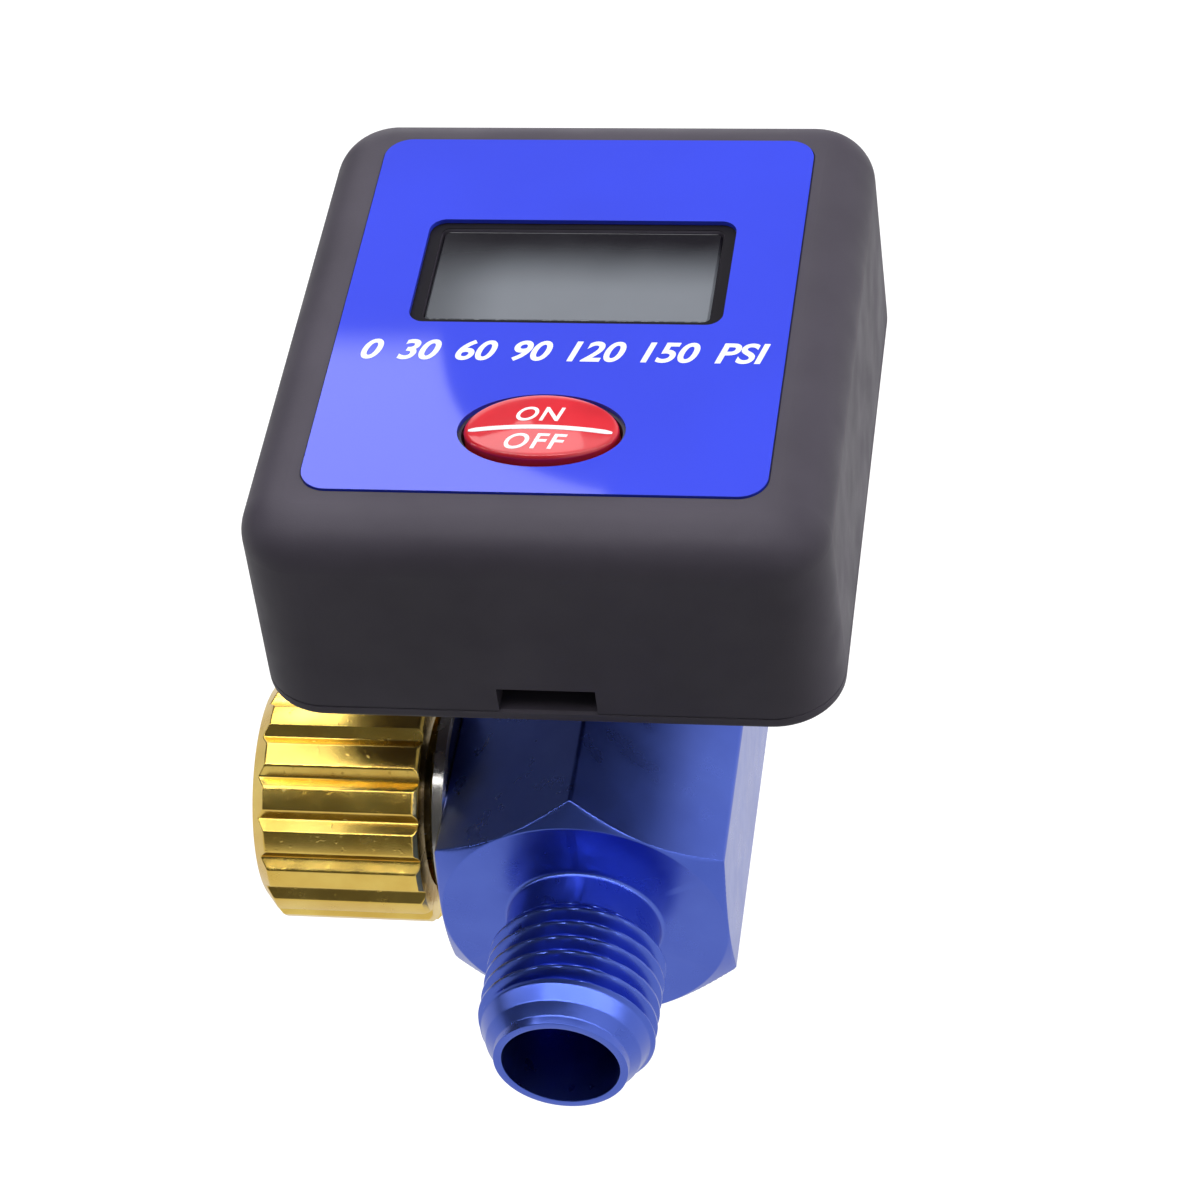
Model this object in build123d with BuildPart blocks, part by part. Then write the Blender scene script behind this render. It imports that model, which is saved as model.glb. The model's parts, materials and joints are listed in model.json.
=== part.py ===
from build123d import *
import math
import os

os.makedirs("parts", exist_ok=True)

# Inline air regulator with a digital gauge, in millimetres.
# The origin is the centre of the inlet port's mouth. The air passage runs along Y, and
# the male outlet points to -Y. +Z is the outward normal of the gauge's face, and the
# adjusting knob stands on the -X flat of the hexagon.

# Hexagon body
hex_flats = 21.7
hex_length = 44.0
hex_turned_land = 0.1
hex_chamfer_angle = 35.0

# Pipe thread of both ports
thread_radius = 6.5785
thread_minor_radius = 5.7225
inlet_depth = 10.0
drill_point_angle = 30.0

# Male outlet
outlet_neck_radius = 5.75
outlet_root_fillet = 0.8
outlet_neck_length = 2.8
outlet_thread_length = 7.1
outlet_cone_radius = 5.65
outlet_cone_length = 1.1
outlet_nose_cone_length = 0.9
outlet_tip_radius = 5.0
outlet_tip_length = 0.52
outlet_bore_radius = 4.33
outlet_bore_depth = 17.2

# Inner air passages
inlet_passage_x = -2.9
inlet_passage_radius = 2.2
outlet_passage_x = 2.4
outlet_passage_radius = 1.7
seat_bore_radius = 2.0
seat_x = -0.5
valve_chamber_radius = 4.4
valve_chamber_depth = 6.1
side_port_radius = 6.0
gauge_tap_radius = 0.9
gauge_tap_x = 2.2

# Knob side: bonnet, screwed stem and plug
knob_setback = 12.0
bonnet_flange_radius = 8.5
bonnet_flange_thickness = 1.2
bonnet_rim_chamfer = 0.2
bonnet_neck_radius = 5.0
bonnet_neck_length = 7.45
bonnet_neck_across = 8.6
bonnet_spanner_length = 4.0
gland_length = 5.6
stem_thread_radius = 2.95
stem_thread_length = 7.75
stem_shaft_radius = 2.3
stem_neck_radius = 1.4
stem_head_radius = 1.8
stem_head_length = 0.9
stem_spigot_radius = 2.5
stem_spigot_length = 2.5
ring_section_radius = 0.45
bonnet_ring_section_radius = 0.5
ring_setback = 1.9
plug_radius = 3.6
plug_length = 2.5
plug_lip = 0.75
plug_seal_radius = 2.9
plug_seal_thickness = 0.9
plug_seal_proud = 0.5
valve_lift_at_rest = 0.65
running_gap = 0.05
end_gap = 0.1
cut_margin = 1.0

# Knob
knob_radius = 9.75
knob_length = 13.05
knob_gap = 0.7
knob_cavity_radius = 7.0
knob_web = 4.9
knob_screw_floor = 0.6
knob_outer_chamfer_length = 1.2
knob_outer_chamfer_height = 1.45
knob_inner_chamfer = 0.35
knob_grooves = 18
knob_groove_phase = 15.5
knob_groove_width = 1.75
knob_groove_depth = 0.7
knob_screw_head_radius = 3.0
knob_screw_head_height = 1.7
knob_screw_head_fillet = 0.55
knob_screw_shank_radius = 1.2
knob_screw_length = 6.4
screw_hole_gap = 0.3
screw_recess_depth = 0.8
screw_recess_width = 0.7
screw_recess_length = 3.4

# Gauge stem
stem_y = -18.3
spot_face_z = 9.0
spot_face_radius = 7.4
gauge_thread_radius = 4.0
gauge_thread_depth = 4.8
gauge_stem_thread_length = 4.4
gasket_thickness = 1.0
gasket_radius = 5.6
gauge_stem_hex_flats = 12.0
gauge_stem_hex_height = 4.0
gauge_stem_shoulder_radius = 5.5
gauge_stem_top_radius = 4.5
gauge_stem_top_height = 5.5
gauge_stem_bore_radius = 1.0
stem_nut_flats = 12.0
stem_nut_thickness = 2.2
sensor_pocket_radius = 3.3
sensor_pocket_depth = 3.0
sensor_radius = 3.1
sensor_thickness = 1.1
sensor_ring_section_radius = 0.4
sensor_retainer_thickness = 0.85
sensor_retainer_bore = 2.3
sensor_pin_radius = 0.25
sensor_pin_pitch = 1.2
sensor_pin_offset = 1.4
sensor_pin_stick_out = 0.5

# Gauge case
case_x = -0.93
case_y = -18.3
case_width = 42.1
case_height = 47.6
case_corner_radius = 5.0
case_back_z = 20.1
case_front_z = 37.8
case_draft = 1.3
case_front_fillet = 3.5
case_wall = 1.8
cover_thickness = 1.15
cover_back_fillet = 0.5
cover_seam_chamfer = 0.2
cover_lip_height = 2.05
cover_lip_thickness = 1.2
cover_lip_gap = 0.12
catch_length = 9.0
catch_height = 0.3
catch_width = 0.6
catch_z = 1.2
catch_gap = 0.15
notch_x = 0.28
notch_width = 7.1
notch_height = 2.2

# Front of the gauge
label_side_margin = 4.65
label_top_margin = 4.21
label_bottom_margin = 5.19
label_corner_radius = 2.0
label_thickness = 0.4
label_recess = 0.25
label_gap = 0.1
window_width = 23.0
window_height = 11.4
window_above_middle = 4.51
window_corner_radius = 1.2
glass_side_ledge = 1.05
glass_end_ledge = 0.75
glass_corner_radius = 0.5
glass_below_label = 0.5
glass_gap = 0.1
rear_glass_side_border = 1.8
rear_glass_end_border = 2.05
rear_glass_thickness = 1.1
lcd_frame_wall = 1.4
lcd_frame_ledge = 0.7
lcd_frame_gap = 0.1
zebra_width = 1.6
zebra_end_gap = 0.55

# Button and its switch
button_width = 11.05
button_height = 6.45
button_from_edge = 11.41
button_gap = 0.22
button_label_gap = 0.45
button_proud = 0.7
button_crown_radius = 27.5
button_edge_fillet = 0.35
button_flange = 1.5
button_flange_thickness = 0.7
button_flange_gap = 0.1
switch_size = 6.0
switch_height = 3.1
switch_plunger_radius = 1.7
switch_plunger_height = 2.35
switch_plunger_gap = 0.1
switch_well_depth = 2.1
button_to_plunger = 0.05

# Board, battery and small parts
board_side_gap = 1.75
board_end_gap = 1.0
board_thickness = 1.2
board_corner_radius = 1.5
board_below_wall = 4.6
board_screw_inset = 3.0
boss_radius = 2.2
board_screw_radius = 0.9
board_screw_head_radius = 1.5
board_screw_head_height = 1.4
board_screw_length = 4.3
board_hole_gap = 0.2
chip_size = 7.0
chip_thickness = 1.0
chip_chamfer = 0.2
chip_side_inset = 8.0
chip_end_inset = 11.5
battery_radius = 10.0
battery_thickness = 3.2
battery_end_gap = 0.8
battery_edge = 0.4
clip_width = 6.0
clip_metal = 0.3
clip_side_gap = 0.3
clip_foot = 1.5

# Worked-out places
hex_corner = hex_flats / math.sqrt(3)
hex_face_radius = hex_flats / 2 - hex_turned_land
hex_chamfer_depth = (hex_corner - hex_face_radius) * math.tan(math.radians(hex_chamfer_angle))
flat_x = -hex_flats / 2
front_y = -hex_length
knob_y = front_y + knob_setback
neck_end_y = front_y - outlet_neck_length
thread_start_y = neck_end_y - (thread_radius - outlet_neck_radius)
thread_end_y = thread_start_y - outlet_thread_length
cone_end_y = thread_end_y - outlet_cone_length
nose_end_y = cone_end_y - outlet_nose_cone_length
tip_y = nose_end_y - outlet_tip_length
chamber_back_x = seat_x - valve_chamber_depth
bonnet_outer_x = flat_x - bonnet_flange_thickness
bonnet_end_x = bonnet_outer_x - bonnet_neck_length
bonnet_inner_x = chamber_back_x - end_gap
gland_start_x = bonnet_inner_x - gland_length
knob_inner_x = bonnet_outer_x - knob_gap
knob_outer_x = knob_inner_x - knob_length
knob_web_x = knob_outer_x + knob_web
seal_front_x = seat_x - valve_lift_at_rest
plug_front_x = seal_front_x - plug_seal_proud
plug_back_x = plug_front_x - plug_length
plug_lip_x = plug_back_x + plug_lip
stem_head_x = plug_lip_x + running_gap
stem_ring_x = bonnet_inner_x - ring_setback
seal_back_x = seal_front_x - plug_seal_thickness
cover_top_z = case_back_z + cover_thickness
label_width = case_width - 2 * label_side_margin
label_height = case_height - label_top_margin - label_bottom_margin
label_y = (label_bottom_margin - label_top_margin) / 2
glass_width = window_width - 2 * glass_side_ledge
glass_height = window_height - 2 * glass_end_ledge
rear_glass_width = glass_width + 2 * rear_glass_side_border
rear_glass_height = glass_height + 2 * rear_glass_end_border
button_y = button_from_edge - case_height / 2
battery_y = case_wall + battery_end_gap + battery_radius - case_height / 2
board_width = case_width - 2 * case_wall - 2 * board_side_gap
board_height = case_height - 2 * case_wall - 2 * board_end_gap
board_screw_x = board_width / 2 - board_screw_inset
board_screw_y = board_height / 2 - board_screw_inset
chip_x = board_width / 2 - chip_side_inset
chip_y = board_height / 2 - chip_end_inset
wall_under_z = case_front_z - case_wall
label_floor_z = case_front_z - label_recess
label_top_z = label_floor_z + label_thickness
glass_top_z = label_top_z - glass_below_label
rear_glass_z = wall_under_z - rear_glass_thickness
board_top_z = wall_under_z - board_below_wall
board_under_z = board_top_z - board_thickness
shoulder_z = case_back_z
stem_hex_z = spot_face_z + gasket_thickness
stem_top_z = shoulder_z + gauge_stem_top_height
sensor_floor_z = stem_top_z - sensor_pocket_depth
sensor_z = sensor_floor_z + 2 * sensor_ring_section_radius + running_gap
battery_z = board_under_z - battery_thickness
switch_top_z = board_top_z + switch_height
flange_top_z = wall_under_z - button_flange_gap
flange_under_z = flange_top_z - button_flange_thickness
plunger_top_z = flange_under_z - button_to_plunger
button_top_z = label_top_z + button_proud

knob_plane = Plane(origin=(0, knob_y, 0), x_dir=(1, 0, 0), z_dir=(0, 0, 1))
knob_axis = Axis((0, knob_y, 0), (1, 0, 0))
stem_plane = Plane(origin=(0, stem_y, 0), x_dir=(1, 0, 0), z_dir=(0, -1, 0))
stem_axis = Axis((0, stem_y, 0), (0, 0, 1))
case_center = (case_x, case_y)


def side_plane(x):
    return Plane(origin=(x, knob_y, 0), x_dir=(0, 1, 0), z_dir=(1, 0, 0))


def level(z):
    return Plane.XY.offset(z)


# Regulator body: hexagon bar turned at both ends, male outlet, ports and passages
with BuildPart() as regulator_body:
    with BuildSketch(Plane.XZ):
        RegularPolygon(hex_flats / 2, 6, major_radius=False, rotation=30)
    extrude(amount=hex_length)
    with BuildSketch(Plane.XY):
        with BuildLine():
            Polyline(
                (0, 0),
                (hex_face_radius, 0),
                (hex_corner, -hex_chamfer_depth),
                (hex_corner, front_y + hex_chamfer_depth),
                (hex_face_radius, front_y),
                (0, front_y),
                close=True,
            )
        make_face()
    revolve(axis=Axis.Y, mode=Mode.INTERSECT)
    with BuildSketch(Plane.XY):
        root_radius = outlet_neck_radius + outlet_root_fillet
        with BuildLine():
            Polyline((0, front_y + cut_margin), (root_radius, front_y + cut_margin), (root_radius, front_y))
            CenterArc((root_radius, front_y - outlet_root_fillet), outlet_root_fillet, 90, 90)
            Polyline(
                (outlet_neck_radius, front_y - outlet_root_fillet),
                (outlet_neck_radius, neck_end_y),
                (thread_radius, thread_start_y),
                (thread_radius, thread_end_y),
                (outlet_cone_radius, cone_end_y),
                (outlet_tip_radius, nose_end_y),
                (outlet_tip_radius, tip_y),
                (0, tip_y),
                (0, front_y + cut_margin),
            )
        make_face()
    revolve(axis=Axis.Y)
    with BuildSketch(Plane.XY):
        inlet_point = thread_minor_radius * math.tan(math.radians(drill_point_angle))
        with BuildLine():
            Polyline(
                (0, 0),
                (thread_minor_radius, 0),
                (thread_minor_radius, -inlet_depth),
                (0, -inlet_depth - inlet_point),
                close=True,
            )
        make_face()
    revolve(axis=Axis.Y, mode=Mode.SUBTRACT)
    with BuildSketch(Plane.XY):
        bore_end_y = tip_y + outlet_bore_depth
        bore_point = outlet_bore_radius * math.tan(math.radians(drill_point_angle))
        with BuildLine():
            Polyline(
                (0, tip_y),
                (outlet_bore_radius, tip_y),
                (outlet_bore_radius, bore_end_y),
                (0, bore_end_y + bore_point),
                close=True,
            )
        make_face()
    revolve(axis=Axis.Y, mode=Mode.SUBTRACT)
    with BuildSketch(Plane.XZ.offset(inlet_depth)):
        with Locations((inlet_passage_x, 0)):
            Circle(inlet_passage_radius)
    extrude(amount=-knob_y - inlet_depth, mode=Mode.SUBTRACT)
    with BuildSketch(Plane.XZ.offset(-stem_y - outlet_passage_radius)):
        with Locations((outlet_passage_x, 0)):
            Circle(outlet_passage_radius)
    extrude(amount=-bore_end_y + stem_y + outlet_passage_radius, mode=Mode.SUBTRACT)
    with BuildSketch(side_plane(flat_x)):
        Circle(side_port_radius)
    extrude(amount=chamber_back_x - flat_x, mode=Mode.SUBTRACT)
    with BuildSketch(side_plane(chamber_back_x)):
        Circle(valve_chamber_radius)
    extrude(amount=valve_chamber_depth, mode=Mode.SUBTRACT)
    with BuildSketch(side_plane(seat_x)):
        Circle(seat_bore_radius)
    extrude(amount=outlet_passage_x - seat_x, mode=Mode.SUBTRACT)
    with BuildSketch(level(spot_face_z)):
        with Locations((0, stem_y)):
            Circle(spot_face_radius)
    extrude(amount=hex_corner - spot_face_z + cut_margin, mode=Mode.SUBTRACT)
    with BuildSketch(level(spot_face_z)):
        with Locations((0, stem_y)):
            Circle(gauge_thread_radius)
    extrude(amount=-gauge_thread_depth, mode=Mode.SUBTRACT)
    with BuildSketch(level(0)):
        with Locations((gauge_tap_x, stem_y)):
            Circle(gauge_tap_radius)
    extrude(amount=spot_face_z - gauge_thread_depth, mode=Mode.SUBTRACT)
regulator_body.part.label = "regulator_body"

# Bonnet: flanged gland nut that closes the side port and carries the stem's thread
with BuildPart() as bonnet:
    shank_radius = side_port_radius - running_gap
    groove_radius = shank_radius - 2 * bonnet_ring_section_radius
    groove_start_x = flat_x + bonnet_ring_section_radius
    groove_end_x = groove_start_x + 2 * (bonnet_ring_section_radius + running_gap)
    with BuildSketch(knob_plane):
        with BuildLine():
            Polyline(
                (bonnet_end_x, stem_thread_radius + running_gap),
                (bonnet_end_x, bonnet_neck_radius),
                (bonnet_outer_x, bonnet_neck_radius),
                (bonnet_outer_x, bonnet_flange_radius),
                (flat_x, bonnet_flange_radius),
                (flat_x, shank_radius),
                (groove_start_x, shank_radius),
                (groove_start_x, groove_radius),
                (groove_end_x, groove_radius),
                (groove_end_x, shank_radius),
                (bonnet_inner_x, shank_radius),
                (bonnet_inner_x, stem_shaft_radius + running_gap),
                (gland_start_x, stem_shaft_radius + running_gap),
                (gland_start_x, stem_thread_radius + running_gap),
                close=True,
            )
        make_face()
    revolve(axis=knob_axis)
    rim = bonnet.edges().filter_by(GeomType.CIRCLE).filter_by(
        lambda e: abs(e.radius - bonnet_flange_radius) < running_gap
    )
    chamfer(rim, length=bonnet_rim_chamfer)
    with BuildSketch(side_plane(bonnet_end_x)):
        Rectangle(2 * bonnet_flange_radius, 2 * bonnet_flange_radius)
        Rectangle(2 * bonnet_flange_radius, bonnet_neck_across, mode=Mode.SUBTRACT)
    extrude(amount=bonnet_spanner_length, mode=Mode.SUBTRACT)
bonnet.part.label = "bonnet"

with BuildPart() as bonnet_o_ring:
    with BuildSketch(knob_plane):
        with Locations(((groove_start_x + groove_end_x) / 2, shank_radius - bonnet_ring_section_radius)):
            Circle(bonnet_ring_section_radius)
    revolve(axis=knob_axis)
bonnet_o_ring.part.label = "bonnet_o_ring"

# Valve stem: screwed spindle with an O-ring groove and a swivel head for the plug
with BuildPart() as valve_stem:
    spigot_end_x = knob_web_x - stem_spigot_length
    thread_end_x = knob_web_x + stem_thread_length
    ring_half = ring_section_radius + running_gap
    ring_floor = stem_shaft_radius - 2 * ring_section_radius + running_gap
    tapped_end_x = spigot_end_x + knob_screw_length
    with BuildSketch(knob_plane):
        with BuildLine():
            Polyline(
                (spigot_end_x, knob_screw_shank_radius + running_gap),
                (spigot_end_x, stem_spigot_radius),
                (knob_web_x, stem_spigot_radius),
                (knob_web_x, stem_thread_radius),
                (thread_end_x, stem_thread_radius),
                (thread_end_x, stem_shaft_radius),
                (stem_ring_x - ring_half, stem_shaft_radius),
                (stem_ring_x - ring_half, ring_floor),
                (stem_ring_x + ring_half, ring_floor),
                (stem_ring_x + ring_half, stem_shaft_radius),
                (plug_back_x - end_gap, stem_shaft_radius),
                (plug_back_x - end_gap, stem_neck_radius),
                (stem_head_x, stem_neck_radius),
                (stem_head_x, stem_head_radius),
                (stem_head_x + stem_head_length, stem_head_radius),
                (stem_head_x + stem_head_length, 0),
                (tapped_end_x, 0),
                (tapped_end_x, knob_screw_shank_radius + running_gap),
                close=True,
            )
        make_face()
    revolve(axis=knob_axis)
valve_stem.part.label = "valve_stem"

with BuildPart() as stem_o_ring:
    with BuildSketch(knob_plane):
        with Locations((stem_ring_x, ring_floor + ring_section_radius)):
            Circle(ring_section_radius)
    revolve(axis=knob_axis)
stem_o_ring.part.label = "stem_o_ring"

# Valve plug: swivels on the stem's head and slides without turning
with BuildPart() as valve_plug:
    plug_cavity_end_x = stem_head_x + stem_head_length + running_gap
    with BuildSketch(knob_plane):
        with BuildLine():
            Polyline(
                (plug_back_x, stem_neck_radius + running_gap),
                (plug_back_x, plug_radius),
                (plug_front_x, plug_radius),
                (plug_front_x, plug_seal_radius + running_gap),
                (seal_back_x, plug_seal_radius + running_gap),
                (seal_back_x, 0),
                (plug_cavity_end_x, 0),
                (plug_cavity_end_x, stem_head_radius + running_gap),
                (plug_lip_x, stem_head_radius + running_gap),
                (plug_lip_x, stem_neck_radius + running_gap),
                close=True,
            )
        make_face()
    revolve(axis=knob_axis)
valve_plug.part.label = "valve_plug"

with BuildPart() as plug_seal:
    with BuildSketch(side_plane(seal_back_x)):
        Circle(plug_seal_radius)
    extrude(amount=plug_seal_thickness)
plug_seal.part.label = "plug_seal"

# Adjusting knob: turned cup with V-grooves along its rim
with BuildPart() as adjusting_knob:
    head_seat_x = spigot_end_x - running_gap - knob_screw_floor
    with BuildSketch(knob_plane):
        with BuildLine():
            Polyline(
                (knob_outer_x, knob_screw_head_radius + screw_hole_gap),
                (knob_outer_x, knob_radius - knob_outer_chamfer_height),
                (knob_outer_x + knob_outer_chamfer_length, knob_radius),
                (knob_inner_x - knob_inner_chamfer, knob_radius),
                (knob_inner_x, knob_radius - knob_inner_chamfer),
                (knob_inner_x, knob_cavity_radius),
                (knob_web_x, knob_cavity_radius),
                (knob_web_x, stem_spigot_radius + running_gap),
                (spigot_end_x - running_gap, stem_spigot_radius + running_gap),
                (spigot_end_x - running_gap, knob_screw_shank_radius + screw_hole_gap),
                (head_seat_x, knob_screw_shank_radius + screw_hole_gap),
                (head_seat_x, knob_screw_head_radius + screw_hole_gap),
                close=True,
            )
        make_face()
    revolve(axis=knob_axis)
    with BuildSketch(side_plane(knob_outer_x)):
        with PolarLocations(knob_radius, knob_grooves, start_angle=180 - knob_groove_phase):
            Polygon(
                (-knob_groove_depth, 0),
                (knob_groove_depth, -knob_groove_width),
                (knob_groove_depth, knob_groove_width),
                align=None,
            )
    extrude(amount=knob_length, mode=Mode.SUBTRACT)
adjusting_knob.part.label = "adjusting_knob"

with BuildPart() as knob_screw:
    with BuildSketch(side_plane(head_seat_x)):
        Circle(knob_screw_head_radius)
    extrude(amount=-knob_screw_head_height)
    fillet(knob_screw.faces().sort_by(Axis.X)[0].edges(), radius=knob_screw_head_fillet)
    with BuildSketch(side_plane(head_seat_x)):
        Circle(knob_screw_shank_radius)
    extrude(amount=knob_screw_length)
    with BuildSketch(side_plane(head_seat_x - knob_screw_head_height)):
        Rectangle(screw_recess_length, screw_recess_width)
        Rectangle(screw_recess_width, screw_recess_length)
    extrude(amount=screw_recess_depth, mode=Mode.SUBTRACT)
knob_screw.part.label = "knob_screw"

# Gauge stem: screwed into the spot face, clamps the back cover and holds the sensor
with BuildPart() as gauge_stem:
    stem_foot_z = spot_face_z - gauge_stem_thread_length
    with BuildSketch(stem_plane):
        with BuildLine():
            Polyline(
                (gauge_stem_bore_radius, stem_foot_z),
                (gauge_thread_radius - running_gap, stem_foot_z),
                (gauge_thread_radius - running_gap, stem_hex_z),
                (gauge_stem_shoulder_radius, stem_hex_z),
                (gauge_stem_shoulder_radius, shoulder_z),
                (gauge_stem_top_radius, shoulder_z),
                (gauge_stem_top_radius, stem_top_z),
                (sensor_pocket_radius, stem_top_z),
                (sensor_pocket_radius, sensor_floor_z),
                (gauge_stem_bore_radius, sensor_floor_z),
                close=True,
            )
        make_face()
    revolve(axis=stem_axis)
    with BuildSketch(level(stem_hex_z)):
        with Locations((0, stem_y)):
            RegularPolygon(gauge_stem_hex_flats / 2, 6, major_radius=False)
            Circle(gauge_stem_bore_radius, mode=Mode.SUBTRACT)
    extrude(amount=gauge_stem_hex_height)
gauge_stem.part.label = "gauge_stem"

with BuildPart() as stem_gasket:
    with BuildSketch(level(spot_face_z)):
        with Locations((0, stem_y)):
            Circle(gasket_radius)
            Circle(gauge_thread_radius + running_gap, mode=Mode.SUBTRACT)
    extrude(amount=gasket_thickness)
stem_gasket.part.label = "stem_gasket"

with BuildPart() as stem_nut:
    with BuildSketch(level(cover_top_z)):
        with Locations((0, stem_y)):
            RegularPolygon(stem_nut_flats / 2, 6, major_radius=False)
            Circle(gauge_stem_top_radius + running_gap, mode=Mode.SUBTRACT)
    extrude(amount=stem_nut_thickness)
stem_nut.part.label = "stem_nut"

# Pressure sensor, its O-ring, retaining ring and pins, in the pocket of the stem
with BuildPart() as sensor_o_ring:
    with BuildSketch(stem_plane):
        ring_middle = sensor_radius - 2 * sensor_ring_section_radius
        with Locations((ring_middle, sensor_floor_z + sensor_ring_section_radius)):
            Circle(sensor_ring_section_radius)
    revolve(axis=stem_axis)
sensor_o_ring.part.label = "sensor_o_ring"

with BuildPart() as pressure_sensor:
    with BuildSketch(level(sensor_z)):
        with Locations((0, stem_y)):
            Circle(sensor_radius)
    extrude(amount=sensor_thickness)
pressure_sensor.part.label = "pressure_sensor"

with BuildPart() as sensor_retainer:
    with BuildSketch(level(sensor_z + sensor_thickness)):
        with Locations((0, stem_y)):
            Circle(sensor_pocket_radius - running_gap)
            Circle(sensor_retainer_bore, mode=Mode.SUBTRACT)
    extrude(amount=sensor_retainer_thickness)
sensor_retainer.part.label = "sensor_retainer"

pin_places = [(n * sensor_pin_pitch, stem_y + sensor_pin_offset) for n in (-1, 0, 1)]
with BuildPart() as sensor_pins:
    with BuildSketch(level(sensor_z + sensor_thickness)):
        with Locations(*pin_places):
            Circle(sensor_pin_radius)
    extrude(amount=board_top_z + sensor_pin_stick_out - sensor_z - sensor_thickness)
sensor_pins.part.label = "sensor_pins"

# Front housing: drafted box, open at the back, with bosses for the board
boss_places = [(sx * board_screw_x, sy * board_screw_y) for sx in (-1, 1) for sy in (-1, 1)]
with BuildPart() as front_housing:
    with BuildSketch(level(cover_top_z)):
        with Locations(case_center):
            RectangleRounded(case_width, case_height, case_corner_radius)
    extrude(amount=case_front_z - cover_top_z, taper=case_draft)
    fillet(front_housing.faces().sort_by(Axis.Z)[-1].edges(), radius=case_front_fillet)
    with BuildSketch(level(cover_top_z)):
        with Locations(case_center):
            RectangleRounded(
                case_width - 2 * case_wall,
                case_height - 2 * case_wall,
                case_corner_radius - case_wall,
            )
    extrude(amount=wall_under_z - cover_top_z, taper=case_draft, mode=Mode.SUBTRACT)
    with BuildSketch(level(wall_under_z)):
        with Locations(case_center):
            with Locations(*boss_places):
                Circle(boss_radius)
    extrude(amount=-board_below_wall)
    with BuildSketch(level(board_top_z)):
        with Locations(case_center):
            with Locations(*boss_places):
                Circle(board_screw_radius + running_gap)
    extrude(amount=board_screw_length - board_thickness + board_hole_gap, mode=Mode.SUBTRACT)
    with BuildSketch(level(label_floor_z)):
        with Locations((case_x, case_y + label_y)):
            RectangleRounded(
                label_width + 2 * label_gap,
                label_height + 2 * label_gap,
                label_corner_radius + label_gap,
            )
    extrude(amount=label_recess, mode=Mode.SUBTRACT)
    with BuildSketch(level(wall_under_z)):
        with Locations((case_x, case_y + window_above_middle)):
            RectangleRounded(
                glass_width + 2 * glass_gap,
                glass_height + 2 * glass_gap,
                glass_corner_radius + glass_gap,
            )
        with Locations((case_x, case_y + button_y)):
            Ellipse(button_width / 2 + button_gap, button_height / 2 + button_gap)
    extrude(amount=case_wall, mode=Mode.SUBTRACT)
    with BuildSketch(level(cover_top_z)):
        with Locations((case_x + notch_x, case_y - case_height / 2)):
            Rectangle(notch_width, 2 * (case_wall + cover_lip_gap))
    extrude(amount=notch_height, mode=Mode.SUBTRACT)
    with BuildSketch(level(cover_top_z + catch_z - catch_width / 2 - catch_gap)):
        catch_slot_span = case_width - 2 * case_wall + 2 * (catch_height + catch_gap)
        with Locations(case_center):
            Rectangle(catch_slot_span, catch_length + 2 * catch_gap)
    extrude(amount=catch_width + 2 * catch_gap, mode=Mode.SUBTRACT)
front_housing.part.label = "front_housing"

# Back cover: flat plate with a snap-in lip, clamped on the gauge stem
with BuildPart() as back_cover:
    with BuildSketch(level(case_back_z)):
        with Locations(case_center):
            RectangleRounded(case_width, case_height, case_corner_radius)
    extrude(amount=cover_thickness)
    fillet(back_cover.faces().sort_by(Axis.Z)[0].edges(), radius=cover_back_fillet)
    chamfer(back_cover.faces().sort_by(Axis.Z)[-1].edges(), length=cover_seam_chamfer)
    with BuildSketch(level(cover_top_z)):
        lip_inset = case_wall + cover_lip_gap + cover_lip_height * math.tan(math.radians(case_draft))
        with Locations(case_center):
            RectangleRounded(
                case_width - 2 * lip_inset,
                case_height - 2 * lip_inset,
                case_corner_radius - lip_inset,
            )
            RectangleRounded(
                case_width - 2 * lip_inset - 2 * cover_lip_thickness,
                case_height - 2 * lip_inset - 2 * cover_lip_thickness,
                case_corner_radius - lip_inset - cover_lip_thickness,
                mode=Mode.SUBTRACT,
            )
        with Locations((case_x + notch_x, case_y - case_height / 2)):
            Rectangle(
                notch_width + 2 * cover_lip_gap,
                2 * (lip_inset + cover_lip_thickness) + cut_margin,
                mode=Mode.SUBTRACT,
            )
    extrude(amount=cover_lip_height)
    with BuildSketch(level(cover_top_z + catch_z - catch_width / 2)):
        catch_span = case_width - 2 * case_wall + 2 * catch_height
        with Locations(case_center):
            Rectangle(catch_span, catch_length)
            Rectangle(case_width - 2 * lip_inset - cover_lip_thickness, catch_length, mode=Mode.SUBTRACT)
    extrude(amount=catch_width)
    with BuildSketch(level(case_back_z)):
        with Locations((0, stem_y)):
            Circle(gauge_stem_top_radius + running_gap)
    extrude(amount=cover_thickness, mode=Mode.SUBTRACT)
back_cover.part.label = "back_cover"

# Front label with the display window and the button's oval cut out
with BuildPart() as front_label:
    with BuildSketch(level(label_floor_z)):
        with Locations((case_x, case_y + label_y)):
            RectangleRounded(label_width, label_height, label_corner_radius)
        with Locations((case_x, case_y + window_above_middle)):
            RectangleRounded(window_width, window_height, window_corner_radius, mode=Mode.SUBTRACT)
        with Locations((case_x, case_y + button_y)):
            Ellipse(
                button_width / 2 + button_label_gap,
                button_height / 2 + button_label_gap,
                mode=Mode.SUBTRACT,
            )
    extrude(amount=label_thickness)
front_label.part.label = "front_label"

# Liquid-crystal display: two glasses, a frame and the rubber contact strips
window_center = (case_x, case_y + window_above_middle)
with BuildPart() as lcd_front_glass:
    with BuildSketch(level(wall_under_z)):
        with Locations(window_center):
            RectangleRounded(glass_width, glass_height, glass_corner_radius)
    extrude(amount=glass_top_z - wall_under_z)
lcd_front_glass.part.label = "lcd_front_glass"

with BuildPart() as lcd_rear_glass:
    with BuildSketch(level(rear_glass_z)):
        with Locations(window_center):
            Rectangle(rear_glass_width, rear_glass_height)
    extrude(amount=rear_glass_thickness)
lcd_rear_glass.part.label = "lcd_rear_glass"

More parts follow.
